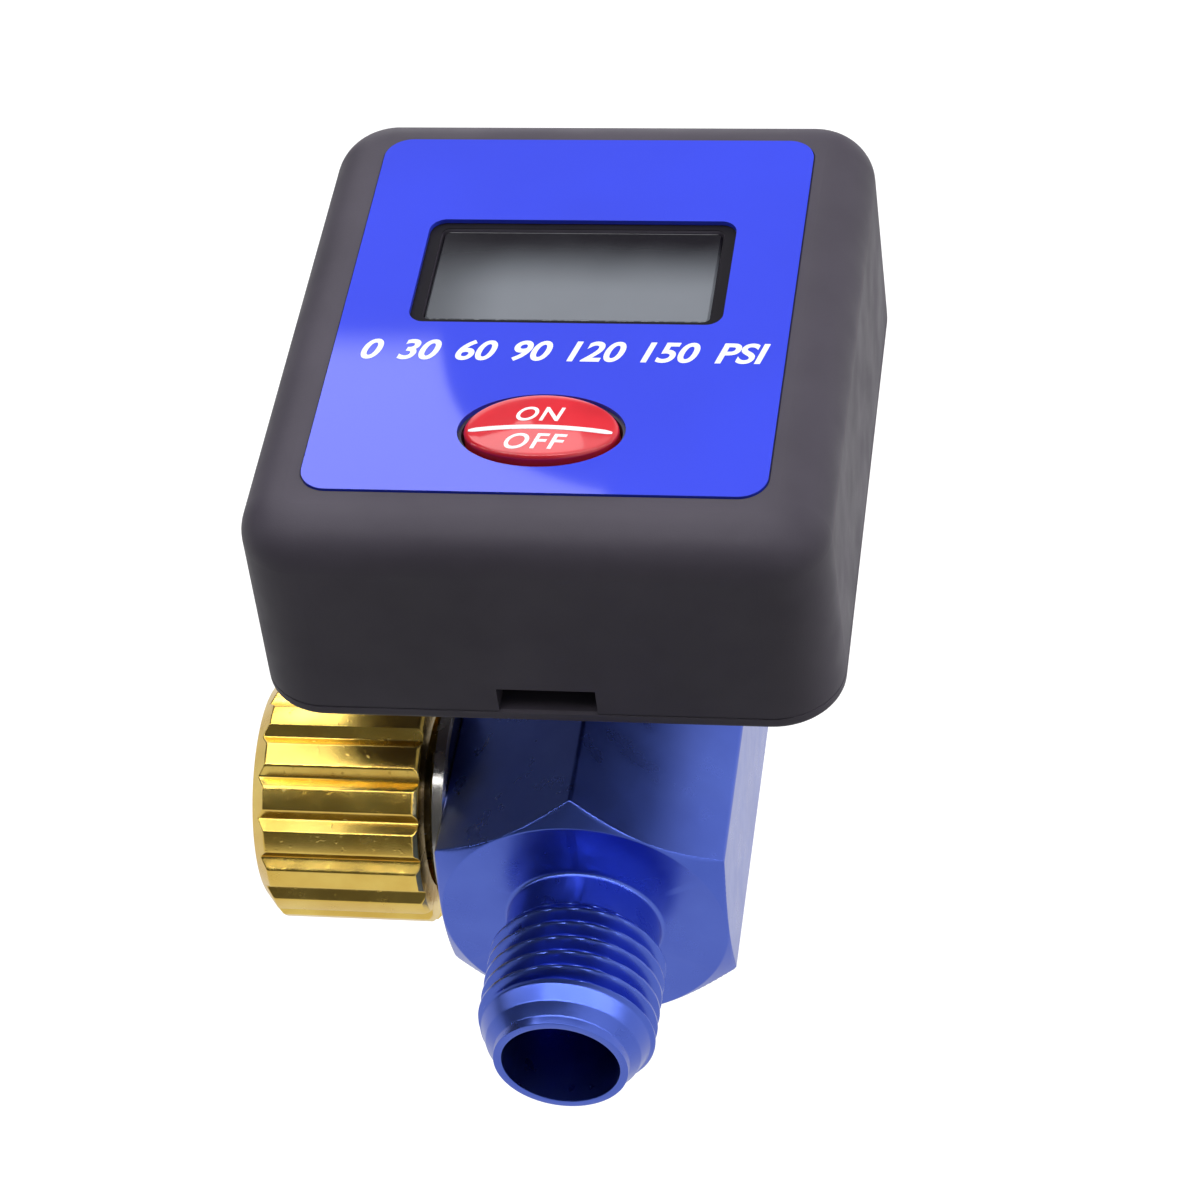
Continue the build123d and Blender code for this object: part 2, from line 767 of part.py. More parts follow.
with BuildPart() as lcd_frame:
    inner_width = rear_glass_width - 2 * lcd_frame_ledge
    inner_height = rear_glass_height - 2 * lcd_frame_ledge
    with BuildSketch(level(board_top_z)):
        with Locations(window_center):
            Rectangle(rear_glass_width + 2 * lcd_frame_wall, rear_glass_height + 2 * lcd_frame_wall)
            Rectangle(inner_width, inner_height, mode=Mode.SUBTRACT)
    extrude(amount=board_below_wall)
    with BuildSketch(level(rear_glass_z)):
        with Locations(window_center):
            Rectangle(rear_glass_width + 2 * lcd_frame_gap, rear_glass_height + 2 * lcd_frame_gap)
    extrude(amount=rear_glass_thickness, mode=Mode.SUBTRACT)
lcd_frame.part.label = "lcd_frame"

with BuildPart() as zebra_strips:
    strip_y = inner_height / 2 - zebra_width / 2 - lcd_frame_gap
    with BuildSketch(level(board_top_z)):
        with Locations(window_center):
            with Locations((0, strip_y), (0, -strip_y)):
                Rectangle(inner_width - 2 * zebra_end_gap, zebra_width)
    extrude(amount=rear_glass_z - board_top_z)
zebra_strips.part.label = "zebra_strips"

# Circuit board with screw and pin holes, its screws and the controller chip
with BuildPart() as circuit_board:
    with BuildSketch(level(board_under_z)):
        with Locations(case_center):
            RectangleRounded(board_width, board_height, board_corner_radius)
            with Locations(*boss_places):
                Circle(board_screw_radius + board_hole_gap, mode=Mode.SUBTRACT)
        with Locations(*pin_places):
            Circle(sensor_pin_radius + board_hole_gap, mode=Mode.SUBTRACT)
    extrude(amount=board_thickness)
circuit_board.part.label = "circuit_board"

with BuildPart() as board_screws:
    with BuildSketch(level(board_under_z)):
        with Locations(case_center):
            with Locations(*boss_places):
                Circle(board_screw_head_radius)
    extrude(amount=-board_screw_head_height)
    with BuildSketch(level(board_under_z)):
        with Locations(case_center):
            with Locations(*boss_places):
                Circle(board_screw_radius)
    extrude(amount=board_screw_length)
board_screws.part.label = "board_screws"

with BuildPart() as controller_chip:
    with BuildSketch(level(board_under_z)):
        with Locations((case_x + chip_x, case_y + chip_y)):
            Rectangle(chip_size, chip_size)
    extrude(amount=-chip_thickness)
    chamfer(controller_chip.faces().sort_by(Axis.Z)[0].edges(), length=chip_chamfer)
controller_chip.part.label = "controller_chip"

# Coin cell and the sprung strap that holds it to the board
battery_center = (case_x, case_y + battery_y)
with BuildPart() as battery:
    with BuildSketch(level(battery_z)):
        with Locations(battery_center):
            Circle(battery_radius)
    extrude(amount=battery_thickness)
    chamfer(battery.faces().sort_by(Axis.Z)[-1].edges(), length=battery_edge)
    chamfer(battery.faces().sort_by(Axis.Z)[0].edges(), length=battery_edge)
battery.part.label = "battery"

with BuildPart() as battery_clip:
    clip_inner = battery_radius + clip_side_gap
    clip_outer = clip_inner + clip_metal
    clip_plane = Plane(origin=(case_x, case_y + battery_y, 0), x_dir=(1, 0, 0), z_dir=(0, -1, 0))
    with BuildSketch(clip_plane):
        with BuildLine():
            Polyline(
                (-clip_outer - clip_foot, board_under_z),
                (-clip_outer - clip_foot, board_under_z - clip_metal),
                (-clip_outer, board_under_z - clip_metal),
                (-clip_outer, battery_z - clip_metal),
                (clip_outer, battery_z - clip_metal),
                (clip_outer, board_under_z - clip_metal),
                (clip_outer + clip_foot, board_under_z - clip_metal),
                (clip_outer + clip_foot, board_under_z),
                (clip_inner, board_under_z),
                (clip_inner, battery_z),
                (-clip_inner, battery_z),
                (-clip_inner, board_under_z),
                close=True,
            )
        make_face()
    extrude(amount=clip_width / 2, both=True)
battery_clip.part.label = "battery_clip"

# Power button, retained by its flange, and the switch under it
button_center = (case_x, case_y + button_y)
with BuildPart() as power_button:
    with BuildSketch(level(flange_top_z)):
        with Locations(button_center):
            Ellipse(button_width / 2, button_height / 2)
    extrude(amount=button_top_z - flange_top_z)
    with Locations((*button_center, button_top_z - button_crown_radius)):
        Sphere(button_crown_radius, mode=Mode.INTERSECT)
    fillet(power_button.faces().sort_by(Axis.Z)[-1].edges(), radius=button_edge_fillet)
    with BuildSketch(level(flange_under_z)):
        with Locations(button_center):
            Ellipse(button_width / 2 + button_flange, button_height / 2 + button_flange)
    extrude(amount=button_flange_thickness)
power_button.part.label = "power_button"

with BuildPart() as switch_body:
    with BuildSketch(level(board_top_z)):
        with Locations(button_center):
            Rectangle(switch_size, switch_size)
    extrude(amount=switch_height)
    with BuildSketch(level(switch_top_z)):
        with Locations(button_center):
            Circle(switch_plunger_radius + switch_plunger_gap)
    extrude(amount=-switch_well_depth, mode=Mode.SUBTRACT)
switch_body.part.label = "switch_body"

with BuildPart() as switch_plunger:
    with BuildSketch(level(plunger_top_z)):
        with Locations(button_center):
            Circle(switch_plunger_radius)
    extrude(amount=-switch_plunger_height)
switch_plunger.part.label = "switch_plunger"

export_step(regulator_body.part, "parts/regulator_body.step")
export_step(bonnet.part, "parts/bonnet.step")
export_step(bonnet_o_ring.part, "parts/bonnet_o_ring.step")
export_step(valve_stem.part, "parts/valve_stem.step")
export_step(stem_o_ring.part, "parts/stem_o_ring.step")
export_step(valve_plug.part, "parts/valve_plug.step")
export_step(plug_seal.part, "parts/plug_seal.step")
export_step(adjusting_knob.part, "parts/adjusting_knob.step")
export_step(knob_screw.part, "parts/knob_screw.step")
export_step(gauge_stem.part, "parts/gauge_stem.step")
export_step(stem_gasket.part, "parts/stem_gasket.step")
export_step(stem_nut.part, "parts/stem_nut.step")
export_step(sensor_o_ring.part, "parts/sensor_o_ring.step")
export_step(pressure_sensor.part, "parts/pressure_sensor.step")
export_step(sensor_retainer.part, "parts/sensor_retainer.step")
export_step(sensor_pins.part, "parts/sensor_pins.step")
export_step(front_housing.part, "parts/front_housing.step")
export_step(back_cover.part, "parts/back_cover.step")
export_step(front_label.part, "parts/front_label.step")
export_step(lcd_front_glass.part, "parts/lcd_front_glass.step")
export_step(lcd_rear_glass.part, "parts/lcd_rear_glass.step")
export_step(lcd_frame.part, "parts/lcd_frame.step")
export_step(zebra_strips.part, "parts/zebra_strips.step")
export_step(circuit_board.part, "parts/circuit_board.step")
export_step(board_screws.part, "parts/board_screws.step")
export_step(controller_chip.part, "parts/controller_chip.step")
export_step(battery.part, "parts/battery.step")
export_step(battery_clip.part, "parts/battery_clip.step")
export_step(power_button.part, "parts/power_button.step")
export_step(switch_body.part, "parts/switch_body.step")
export_step(switch_plunger.part, "parts/switch_plunger.step")
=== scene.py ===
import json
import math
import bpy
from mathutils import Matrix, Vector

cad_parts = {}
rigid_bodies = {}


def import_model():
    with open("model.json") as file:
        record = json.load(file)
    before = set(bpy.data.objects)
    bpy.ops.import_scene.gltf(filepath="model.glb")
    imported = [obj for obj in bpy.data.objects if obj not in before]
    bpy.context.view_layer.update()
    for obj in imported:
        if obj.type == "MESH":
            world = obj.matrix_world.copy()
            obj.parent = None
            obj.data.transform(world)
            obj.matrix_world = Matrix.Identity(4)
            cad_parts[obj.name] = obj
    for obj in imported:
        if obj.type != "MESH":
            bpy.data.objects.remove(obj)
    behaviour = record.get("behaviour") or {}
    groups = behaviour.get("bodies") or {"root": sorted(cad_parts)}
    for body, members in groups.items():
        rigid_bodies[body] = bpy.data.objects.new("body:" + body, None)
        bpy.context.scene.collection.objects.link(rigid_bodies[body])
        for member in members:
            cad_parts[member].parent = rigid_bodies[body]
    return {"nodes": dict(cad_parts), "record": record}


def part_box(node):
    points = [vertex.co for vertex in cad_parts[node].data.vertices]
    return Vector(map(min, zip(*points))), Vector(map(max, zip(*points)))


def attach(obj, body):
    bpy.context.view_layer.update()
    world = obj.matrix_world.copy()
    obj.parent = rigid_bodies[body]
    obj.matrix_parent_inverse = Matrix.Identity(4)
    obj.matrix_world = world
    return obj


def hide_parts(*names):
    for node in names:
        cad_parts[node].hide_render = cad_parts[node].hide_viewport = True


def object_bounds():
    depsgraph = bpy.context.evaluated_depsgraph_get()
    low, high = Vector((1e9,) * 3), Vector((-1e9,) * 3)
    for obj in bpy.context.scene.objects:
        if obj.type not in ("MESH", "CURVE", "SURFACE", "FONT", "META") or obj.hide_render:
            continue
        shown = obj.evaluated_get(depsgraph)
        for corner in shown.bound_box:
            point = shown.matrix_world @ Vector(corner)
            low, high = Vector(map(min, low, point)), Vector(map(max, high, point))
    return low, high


bl_info = {
    "name": "Air regulator with a digital gauge",
    "version": (1, 0, 0),
    "blender": (4, 5, 0),
    "location": "View3D > Sidebar > Regulator",
    "description": "Dresses an inline air regulator and its digital gauge, and lights them",
    "category": "Object",
}

import bmesh
import bpy
from mathutils import Matrix, Vector

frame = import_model()
CAD_BOX = [list(corner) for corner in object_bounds()]
NODES = frame["nodes"]
MOUNTS = {mount["name"]: mount for mount in frame["record"]["mounts"]}

MM = 0.001
FULL_TURN = 2 * math.pi
# Height of a sharp 55 degree thread over its pitch
SHARP_THREAD_HEIGHT = 0.9605

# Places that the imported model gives
BODY_LOW, BODY_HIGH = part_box("regulator_body")
KNOB_LOW, KNOB_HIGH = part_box("adjusting_knob")
LABEL_LOW, LABEL_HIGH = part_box("front_label")
GLASS_LOW, GLASS_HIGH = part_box("lcd_front_glass")
BUTTON_LOW, BUTTON_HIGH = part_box("power_button")
STEM_LOW, STEM_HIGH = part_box("gauge_stem")
BONNET_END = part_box("bonnet")[1].x
KNOB_AXIS_Y = (KNOB_LOW.y + KNOB_HIGH.y) / 2
STEM_AXIS_Y = (STEM_LOW.y + STEM_HIGH.y) / 2
GLASS_CENTRE = (GLASS_LOW + GLASS_HIGH) / 2
BUTTON_CENTRE = (BUTTON_LOW + BUTTON_HIGH) / 2
THREAD_RADIUS = MOUNTS["outlet_thread"]["dims"]["r_mm"] * MM
THREAD_ROOT_RADIUS = MOUNTS["inlet_port"]["dims"]["r_mm"] * MM
OUTLET_BORE_RADIUS = MOUNTS["outlet_bore"]["dims"]["r_mm"] * MM
OUTLET_BORE_DEPTH = MOUNTS["outlet_bore"]["dims"]["length_mm"] * MM


def length(name, description, default_mm):
    return bpy.props.FloatProperty(
        name=name, description=description, default=default_mm * MM, unit="LENGTH", precision=5
    )


def number(name, description, default):
    return bpy.props.FloatProperty(name=name, description=description, default=default)


def colour(name, description, default):
    return bpy.props.FloatVectorProperty(
        name=name, description=description, default=default, subtype="COLOR", size=3, min=0, max=1
    )


class RegulatorSizes(bpy.types.PropertyGroup):
    hex_length: length("Hexagon length", "Hexagon bar along the air passage", 44.0)
    hex_corner_radius: length("Corner radius", "Radius over the broken corners of the bar", 12.46)
    hex_face_radius: length("Faced radius", "Radius where the turned chamfer starts", 10.75)
    hex_chamfer_angle: number("Chamfer angle", "Angle of the turned chamfer in degrees", 35.0)
    inlet_depth: length("Inlet depth", "Depth of the tapped inlet", 10.0)
    neck_radius: length("Neck radius", "Plain neck behind the outlet's thread", 5.75)
    neck_length: length("Neck length", "Plain neck, with its root fillet", 2.8)
    root_fillet: length("Root fillet", "Fillet between the neck and the hexagon", 0.35)
    thread_length: length("Thread length", "Full crests of the outlet's thread", 6.7)
    thread_pitch: length("Thread pitch", "Distance from crest to crest", 1.337)
    thread_phase: number("Thread phase", "Turn of the outlet's thread about its axis", 0.593)
    land_radius: length("Land radius", "Plain land behind the last crest", 6.22)
    land_step: length("Land step", "Slope from the last crest to the land", 0.2)
    cone_radius: length("Cone radius", "Small end of the first cone", 5.7)
    cone_length: length("Cone length", "First cone in front of the thread", 1.2)
    nose_length: length("Nose length", "Second cone towards the tip", 0.8)
    tip_radius: length("Tip radius", "Plain land at the tip", 4.95)
    side_port_radius: length("Side port", "Radius of the bonnet's port", 6.0)
    chamber_radius: length("Valve chamber", "Radius of the chamber behind the bonnet", 4.4)
    seat_radius: length("Valve seat", "Radius of the hole that the plug shuts", 2.0)
    spot_face_radius: length("Spot face", "Radius of the flat for the gauge stem", 7.4)
    spot_face_height: length("Spot face height", "Height of that flat over the axis", 9.0)
    gauge_port_radius: length("Gauge port", "Radius of the hole under the gauge stem", 4.0)
    inlet_passage_radius: length("Inlet passage", "Radius of the passage to the seat", 2.2)
    outlet_passage_radius: length("Outlet passage", "Radius of the passage from it", 1.7)
    knob_grooves: bpy.props.IntProperty(
        name="Grooves", description="Grooves around the knob's rim", default=18, min=3
    )
    knob_groove_phase: number("Groove phase", "Angle of one groove in degrees", 164.5)
    knob_groove_depth: length("Groove depth", "Depth of a groove below the rim", 0.7)
    knob_groove_slope: number("Groove slope", "Rise of a groove's flank over its run", 0.8)
    knob_chamfer_length: length("Knob chamfer length", "Outer chamfer along the axis", 1.2)
    knob_chamfer_height: length("Knob chamfer height", "Outer chamfer across the axis", 1.45)
    knob_inner_chamfer: length("Knob inner chamfer", "Chamfer beside the bonnet", 0.35)
    knob_cavity_radius: length("Knob cavity", "Radius inside the cup", 7.0)
    knob_web: length("Knob web", "Thickness of the cup's floor", 4.9)
    knob_screw_well: length("Screw well", "Radius of the well around the screw", 3.3)
    knob_bore_radius: length("Knob bore", "Radius around the valve stem's spigot", 2.55)
    knob_spigot_length: length("Spigot length", "Depth of the seat for the spigot", 2.55)
    knob_screw_floor: length("Screw floor", "Floor between the screw's head and the spigot", 0.6)
    knob_screw_hole: length("Screw hole", "Radius of the screw's hole", 1.5)
    button_crown_radius: length("Button crown", "Radius of the button's crown", 27.5)
    button_rim: length("Button rim", "Rounding of the button's rim", 0.35)
    button_flange: length("Button flange", "Width of the flange under the label", 1.5)
    button_line_width: length("Button line", "Width of the line across the button", 0.4)
    glass_corner: length("Glass corner", "Corner radius of the display glass", 0.5)
    glass_ground_edge: length("Ground edge", "Bevel around the display glass", 0.16)
    window_side_ledge: length("Side ledge", "Ledge beside the display glass", 1.05)
    window_end_ledge: length("End ledge", "Ledge above and below the display glass", 0.75)
    window_corner: length("Window corner", "Corner radius of the label's window", 1.17)
    scale_left: length("Scale start", "Left end of the printed scale", -15.2)
    scale_right: length("Scale end", "Right end of the printed scale", 14.3)
    scale_row: length("Scale row", "Middle of the printed scale along the air passage", -22.5)
    print_height: length("Print height", "Height of the numbers on the label", 2.15)
    word_height: length("Word height", "Height of the words on the button", 1.45)
    print_thickness: length("Print thickness", "Thickness of printed ink", 0.02)


class RegulatorColours(bpy.types.PropertyGroup):
    body_blue: colour("Body blue", "Anodised body in full light", (0.086, 0.150, 0.64))
    body_blue_deep: colour("Deep body blue", "Body where the dye is thicker", (0.073, 0.130, 0.60))
    gold: colour("Gold", "Knob in full light", (0.87, 0.63, 0.155))
    gold_deep: colour("Deep gold", "Knob where the dye is thicker", (0.77, 0.51, 0.105))
    # Darker than bare plating: painted shade for the bonnet, which sits in the gap between the knob
    # and the hexagon; the gauge stem shares this tone
    nickel: colour("Nickel", "Plated bonnet and gauge stem", (0.52, 0.50, 0.48))
    brass: colour("Brass", "Valve parts", (0.76, 0.55, 0.22))
    steel: colour("Steel", "Screws, clip and cell", (0.56, 0.56, 0.57))
    case_black: colour("Case black", "Moulded gauge case", (0.048, 0.042, 0.056))
    label_blue: colour("Label blue", "Printed film", (0.025, 0.048, 0.65))
    # White ink also gives the painted highlights along the display glass's edges
    ink_white: colour("White ink", "Numbers and words", (0.86, 0.88, 0.92))
    # Painted shade: darkens the ledge of the label's window around the display glass
    ledge_shade_black: colour("Ledge shade black", "Ring around the display glass", (0.006, 0.005, 0.008))
    button_red: colour("Button red", "Power button", (0.66, 0.014, 0.028))
    # The display's two tones are the ends of its painted reflection, dark at its upper left and
    # pale at its lower edge
    glass_light: colour("Display light", "Display at its lower edge", (0.215, 0.232, 0.262))
    glass_dark: colour("Display dark", "Display at its upper left", (0.004, 0.003, 0.007))
    rubber: colour("Rubber", "Seals and contact strips", (0.018, 0.018, 0.019))
    ceramic: colour("Ceramic", "Pressure sensor", (0.78, 0.77, 0.73))
    white_plastic: colour("White plastic", "Display frame", (0.78, 0.78, 0.76))
    board_green: colour("Board green", "Circuit board", (0.012, 0.16, 0.05))
    floor_grey: colour("Floor grey", "Studio floor", (0.32, 0.32, 0.32))


class StudioSettings(bpy.types.PropertyGroup):
    lens: bpy.props.FloatProperty(
        name="Lens",
        description="Focal length on a 36 mm sensor",
        default=109.204,
        subtype="DISTANCE_CAMERA",
    )
    camera_place: bpy.props.FloatVectorProperty(
        name="Camera place",
        description="Camera in the part's own frame",
        default=(0.04451, -0.21204, 0.21040),
        subtype="TRANSLATION",
        unit="LENGTH",
        size=3,
    )
    camera_azimuth: number("Camera azimuth", "Degrees from -Y towards +X", 13.33503)
    camera_elevation: number("Camera elevation", "Degrees above the air passage", 45.46596)
    camera_roll: number("Camera roll", "Degrees about the line of sight", -8.16744)
    floor_drop: length("Floor drop", "Floor below the held part", 95.0)
    overhead_power: number("Overhead power", "Watts of the overhead softbox", 12.3)
    side_power: number("Side power", "Watts of the side softbox", 6.0)
    fill: number("Fill", "Even light from all around", 0.2)
    floor_seen: number("Floor seen", "Extra brightness of the floor that the camera sees", 0.78)
    floor_gloss: number("Floor in reflections", "Extra brightness that gloss shows", 0.45)
    sky_gloss: number("Sky in reflections", "Brightness of the ceiling that gloss shows", 1.45)
    wall_tone: number("Wall tone", "Brightness of the dark wall that gloss shows", 0.1)
    tube_glow: number("Tube glow", "Brightness of the thin tube that edges show", 15.0)
    pane_glow: number("Pane glow", "Brightness of the window that the label shows", 3.4)


# Node helpers, for materials and for geometry trees alike
class Flow:
    """A number, place or tone on its way through a node tree."""

    def __init__(self, tree, socket):
        self.tree, self.socket = tree, socket

    def by(self, operation, *others):
        return calc(self.tree, operation, self, *others)

    def __add__(self, other):
        return self.by("ADD", other)

    def __sub__(self, other):
        return self.by("SUBTRACT", other)

    def __mul__(self, other):
        return self.by("MULTIPLY", other)

    def __truediv__(self, other):
        return self.by("DIVIDE", other)

    def spread(self, low, high, new_low, new_high, course="LINEAR"):
        """The number carried from one range to another."""
        inputs = {"Value": self, "From Min": low, "From Max": high}
        inputs |= {"To Min": new_low, "To Max": new_high}
        options = {"interpolation_type": course}
        return add_node(self.tree, "ShaderNodeMapRange", "Result", inputs, **options)

    def eased(self, *bounds):
        return self.spread(*bounds, course="SMOOTHSTEP")


def feed(tree, socket, value):
    if isinstance(value, Flow):
        tree.links.new(value.socket, socket)
    else:
        socket.default_value = value


def add_node(tree, kind, output, inputs, **options):
    """Adds a node, sets its options, feeds its inputs and gives one of its outputs."""
    node = tree.nodes.new(kind)
    for name, option in options.items():
        setattr(node, name, option)
    for key, value in inputs.items():
        feed(tree, node.inputs[key], value)
    return Flow(tree, node.outputs[output])


def calc(tree, operation, *values):
    return add_node(tree, "ShaderNodeMath", 0, dict(enumerate(values)), operation=operation)


def split(place):
    node = add_node(place.tree, "ShaderNodeSeparateXYZ", 0, {0: place}).socket.node
    return [Flow(place.tree, socket) for socket in node.outputs]


def join(tree, *axes):
    return add_node(tree, "ShaderNodeCombineXYZ", 0, dict(enumerate(axes)))


def shaded(tone, share):
    return [min(1.0, share * channel) for channel in tone]


class Finish:
    """A material whose patterns read the object's own coordinates."""

    def __init__(self, name, roughness, metallic=0.0, specular=0.5):
        self.material = bpy.data.materials.new(name)
        self.material.use_nodes = True
        self.tree = self.material.node_tree
        self.shader = self.tree.nodes["Principled BSDF"]
        self.give("Roughness", roughness)
        self.give("Metallic", metallic)
        self.give("Specular IOR Level", specular)
        self.place = add_node(self.tree, "ShaderNodeTexCoord", "Object", {})

    def give(self, name, value):
        feed(self.tree, self.shader.inputs[name], value)

    def stretched(self, x, y, z):
        inputs = {"Vector": self.place, "Scale": (x, y, z)}
        return add_node(self.tree, "ShaderNodeMapping", 0, inputs)

    def noise(self, scale, detail, place=None, roughness=0.5):
        inputs = {"Vector": place or self.place, "Scale": scale}
        inputs |= {"Detail": detail, "Roughness": roughness}
        return add_node(self.tree, "ShaderNodeTexNoise", "Fac", inputs)

    def tint(self, share, low, high):
        """A blend of two tones."""
        low, high = (tone if isinstance(tone, Flow) else (*tone, 1) for tone in (low, high))
        inputs = {0: share, 6: low, 7: high}
        return add_node(self.tree, "ShaderNodeMix", 2, inputs, data_type="RGBA")

    def clouded(self, scale, detail, low, high):
        """Lets two tones drift into each other."""
        share = self.noise(scale, detail).spread(0.35, 0.65, 0.0, 1.0)
        self.give("Base Color", self.tint(share, low, high))

    def roughened(self, scale, detail, low, high):
        self.give("Roughness", self.noise(scale, detail).spread(0.3, 0.7, low, high))

    def bumped(self, *heights):
        """Each height is (value, strength, distance)."""
        below = {}
        for value, strength, distance in heights:
            inputs = {"Height": value, "Strength": strength, "Distance": distance, **below}
            below = {"Normal": add_node(self.tree, "ShaderNodeBump", "Normal", inputs)}
        self.give("Normal", below["Normal"])

    def coated(self, weight, roughness):
        self.give("Coat Weight", weight)
        self.give("Coat Roughness", roughness)

    def turning_marks(self, axis, centre_y=0.0, scale=3500.0):
        """Fine rings that a lathe tool leaves about an axis."""
        x, y, z = split(self.place)
        if axis != "Y":
            y = y - centre_y
        along = {"X": x, "Y": y, "Z": z}[axis]
        first, second = (value.by("POWER", 2.0) for value in (x, y, z) if value is not along)
        return self.noise(scale, 2.0, join(self.tree, along, (first + second).by("SQRT"), 0.0))


def body_finish(sizes, colours):
    finish = Finish("satin_blue_anodised", 0.3, metallic=1.0)
    finish.clouded(160.0, 3.0, colours.body_blue_deep, colours.body_blue)
    finish.roughened(420.0, 4.0, 0.26, 0.33)
    finish.coated(0.4, 0.2)
    # Lines drawn along the flats, and rings turned into all that lies beyond their ends
    drawn = finish.noise(2600.0, 2.0, finish.stretched(1.0, 0.02, 1.0))
    half = sizes.hex_length / 2
    from_middle = (split(finish.place)[1] + half).by("ABSOLUTE")
    on_flats = from_middle.spread(half - 1.2 * MM, half - 1.1 * MM, 1.0, 0.0)
    inputs = {"Factor": on_flats, "A": finish.turning_marks("Y"), "B": drawn}
    lines = add_node(finish.tree, "ShaderNodeMix", "Result", inputs)
    finish.bumped((lines, 0.04, 0.01 * MM))
    return finish.material


def gold_finish(colours):
    finish = Finish("gold_anodised_knob", 0.2, metallic=1.0)
    finish.clouded(230.0, 3.0, colours.gold_deep, colours.gold)
    finish.roughened(600.0, 3.0, 0.2, 0.28)
    marks = finish.turning_marks("X", KNOB_AXIS_Y, 2600.0)
    ripple = finish.noise(330.0, 2.0)
    pits = finish.noise(2400.0, 1.0).spread(0.66, 0.74, 0.0, 1.0)
    finish.bumped((ripple, 0.3, 0.06 * MM), (marks, 0.15, 0.01 * MM), (pits, 0.4, 0.02 * MM))
    return finish.material


def turned_metal(name, tone, axis, centre_y):
    finish = Finish(name, 0.22, metallic=1.0)
    finish.clouded(300.0, 3.0, shaded(tone, 0.82), tone)
    finish.roughened(500.0, 3.0, 0.17, 0.3)
    finish.bumped((finish.turning_marks(axis, centre_y), 0.3, 0.015 * MM))
    return finish.material


def case_finish(colours):
    finish = Finish("satin_black_moulding", 0.5, specular=0.2)
    finish.clouded(90.0, 3.0, colours.case_black, shaded(colours.case_black, 1.25))
    finish.roughened(260.0, 3.0, 0.44, 0.56)
    flow = finish.noise(60.0, 2.0)
    spark = finish.noise(7000.0, 3.0, roughness=0.6)
    finish.bumped((flow, 0.07, 0.1 * MM), (spark, 0.35, 0.02 * MM))
    return finish.material


def label_finish(colours):
    finish = Finish("glossy_blue_film", 0.42, specular=0.15)
    finish.clouded(70.0, 2.0, colours.label_blue, shaded(colours.label_blue, 1.08))
    finish.coated(1.0, 0.035)
    wave = finish.noise(75.0, 1.0)
    peel = finish.noise(900.0, 2.0)
    finish.bumped((wave, 0.25, 0.08 * MM), (peel, 0.05, 0.008 * MM))
    return finish.material


def ink_finish(colours):
    finish = Finish("white_ink", 0.4, specular=0.4)
    greyer = shaded(colours.ink_white, 0.93)
    finish.give("Base Color", finish.tint(finish.noise(1500.0, 3.0), greyer, colours.ink_white))
    finish.bumped((finish.noise(5000.0, 2.0), 0.2, 0.01 * MM))
    return finish.material


def button_finish(colours):
    finish = Finish("glossy_red_button", 0.28, specular=0.2)
    finish.clouded(350.0, 2.0, shaded(colours.button_red, 0.85), colours.button_red)
    finish.coated(1.0, 0.06)
    finish.bumped((finish.noise(700.0, 2.0), 0.12, 0.02 * MM))
    return finish.material


def display_finish(colours):
    """Blank liquid-crystal panel with a painted reflection, dark at its upper left and paler below,
    and painted highlights along its cut edges.
    """
    finish = Finish("grey_display_glass", 0.2, specular=0.2)
    x, y = split(finish.place)[:2]
    # Painted reflection: the panel is darker towards its upper left and paler below
    across = x.eased(GLASS_LOW.x, GLASS_LOW.x + 6 * MM, 0.45, 1.0)
    down = y.eased(GLASS_HIGH.y - 0.6 * MM, GLASS_HIGH.y - 7.0 * MM, 0.0, 0.88)
    cloud = finish.noise(160.0, 2.0).spread(0.3, 0.7, -0.03, 0.03)
    panel = finish.tint(across * down + cloud, colours.glass_dark, colours.glass_light)
    # Painted highlights in the white ink's tone: a bright line along the upper edge, and a fainter,
    # dotted one along the lower edge
    upper_edge_highlight = y.spread(GLASS_HIGH.y - 0.2 * MM, GLASS_HIGH.y - 0.12 * MM, 0.0, 0.85)
    lower_edge_highlight = y.spread(GLASS_LOW.y + 0.16 * MM, GLASS_LOW.y + 0.1 * MM, 0.0, 0.5)
    dotted_lower_highlight = lower_edge_highlight * finish.noise(1900.0, 1.0).spread(0.45, 0.6, 0.0, 1.0)
    edge_highlights = upper_edge_highlight.by("MAXIMUM", dotted_lower_highlight)
    finish.give("Base Color", finish.tint(edge_highlights, panel, colours.ink_white))
    finish.coated(1.0, 0.03)
    finish.bumped((finish.noise(120.0, 1.0), 0.1, 0.05 * MM))
    return finish.material


def plain_finish(name, tone, roughness, metallic=0.0, specular=0.5):
    finish = Finish(name, roughness, metallic=metallic, specular=specular)
    finish.clouded(200.0, 3.0, shaded(tone, 0.8), tone)
    finish.roughened(400.0, 2.0, roughness - 0.06, roughness + 0.08)
    finish.bumped((finish.noise(1200.0, 3.0), 0.25, 0.03 * MM))
    return finish.material


# Mesh helpers
def quadratic(start, corner, end, share):
    rest = 1 - share
    return tuple(
        rest * rest * a + 2 * rest * share * b + share * share * c
        for a, b, c in zip(start, corner, end)
    )


def softened(points, cut, steps=3, closed=False):
    """The same outline with each corner turned into a short curve."""
    count = len(points)
    result = []
    for index, corner in enumerate(points):
        if not closed and index in (0, count - 1):
            result.append(corner)
            continue
        middle = Vector(corner)
        before = Vector(points[index - 1]) - middle
        after = Vector(points[(index + 1) % count]) - middle
        reach = min(cut, 0.35 * before.length, 0.35 * after.length)
        start = middle + before.normalized() * reach
        end = middle + after.normalized() * reach
        result += [quadratic(start, middle, end, step / steps) for step in range(steps + 1)]
    return result


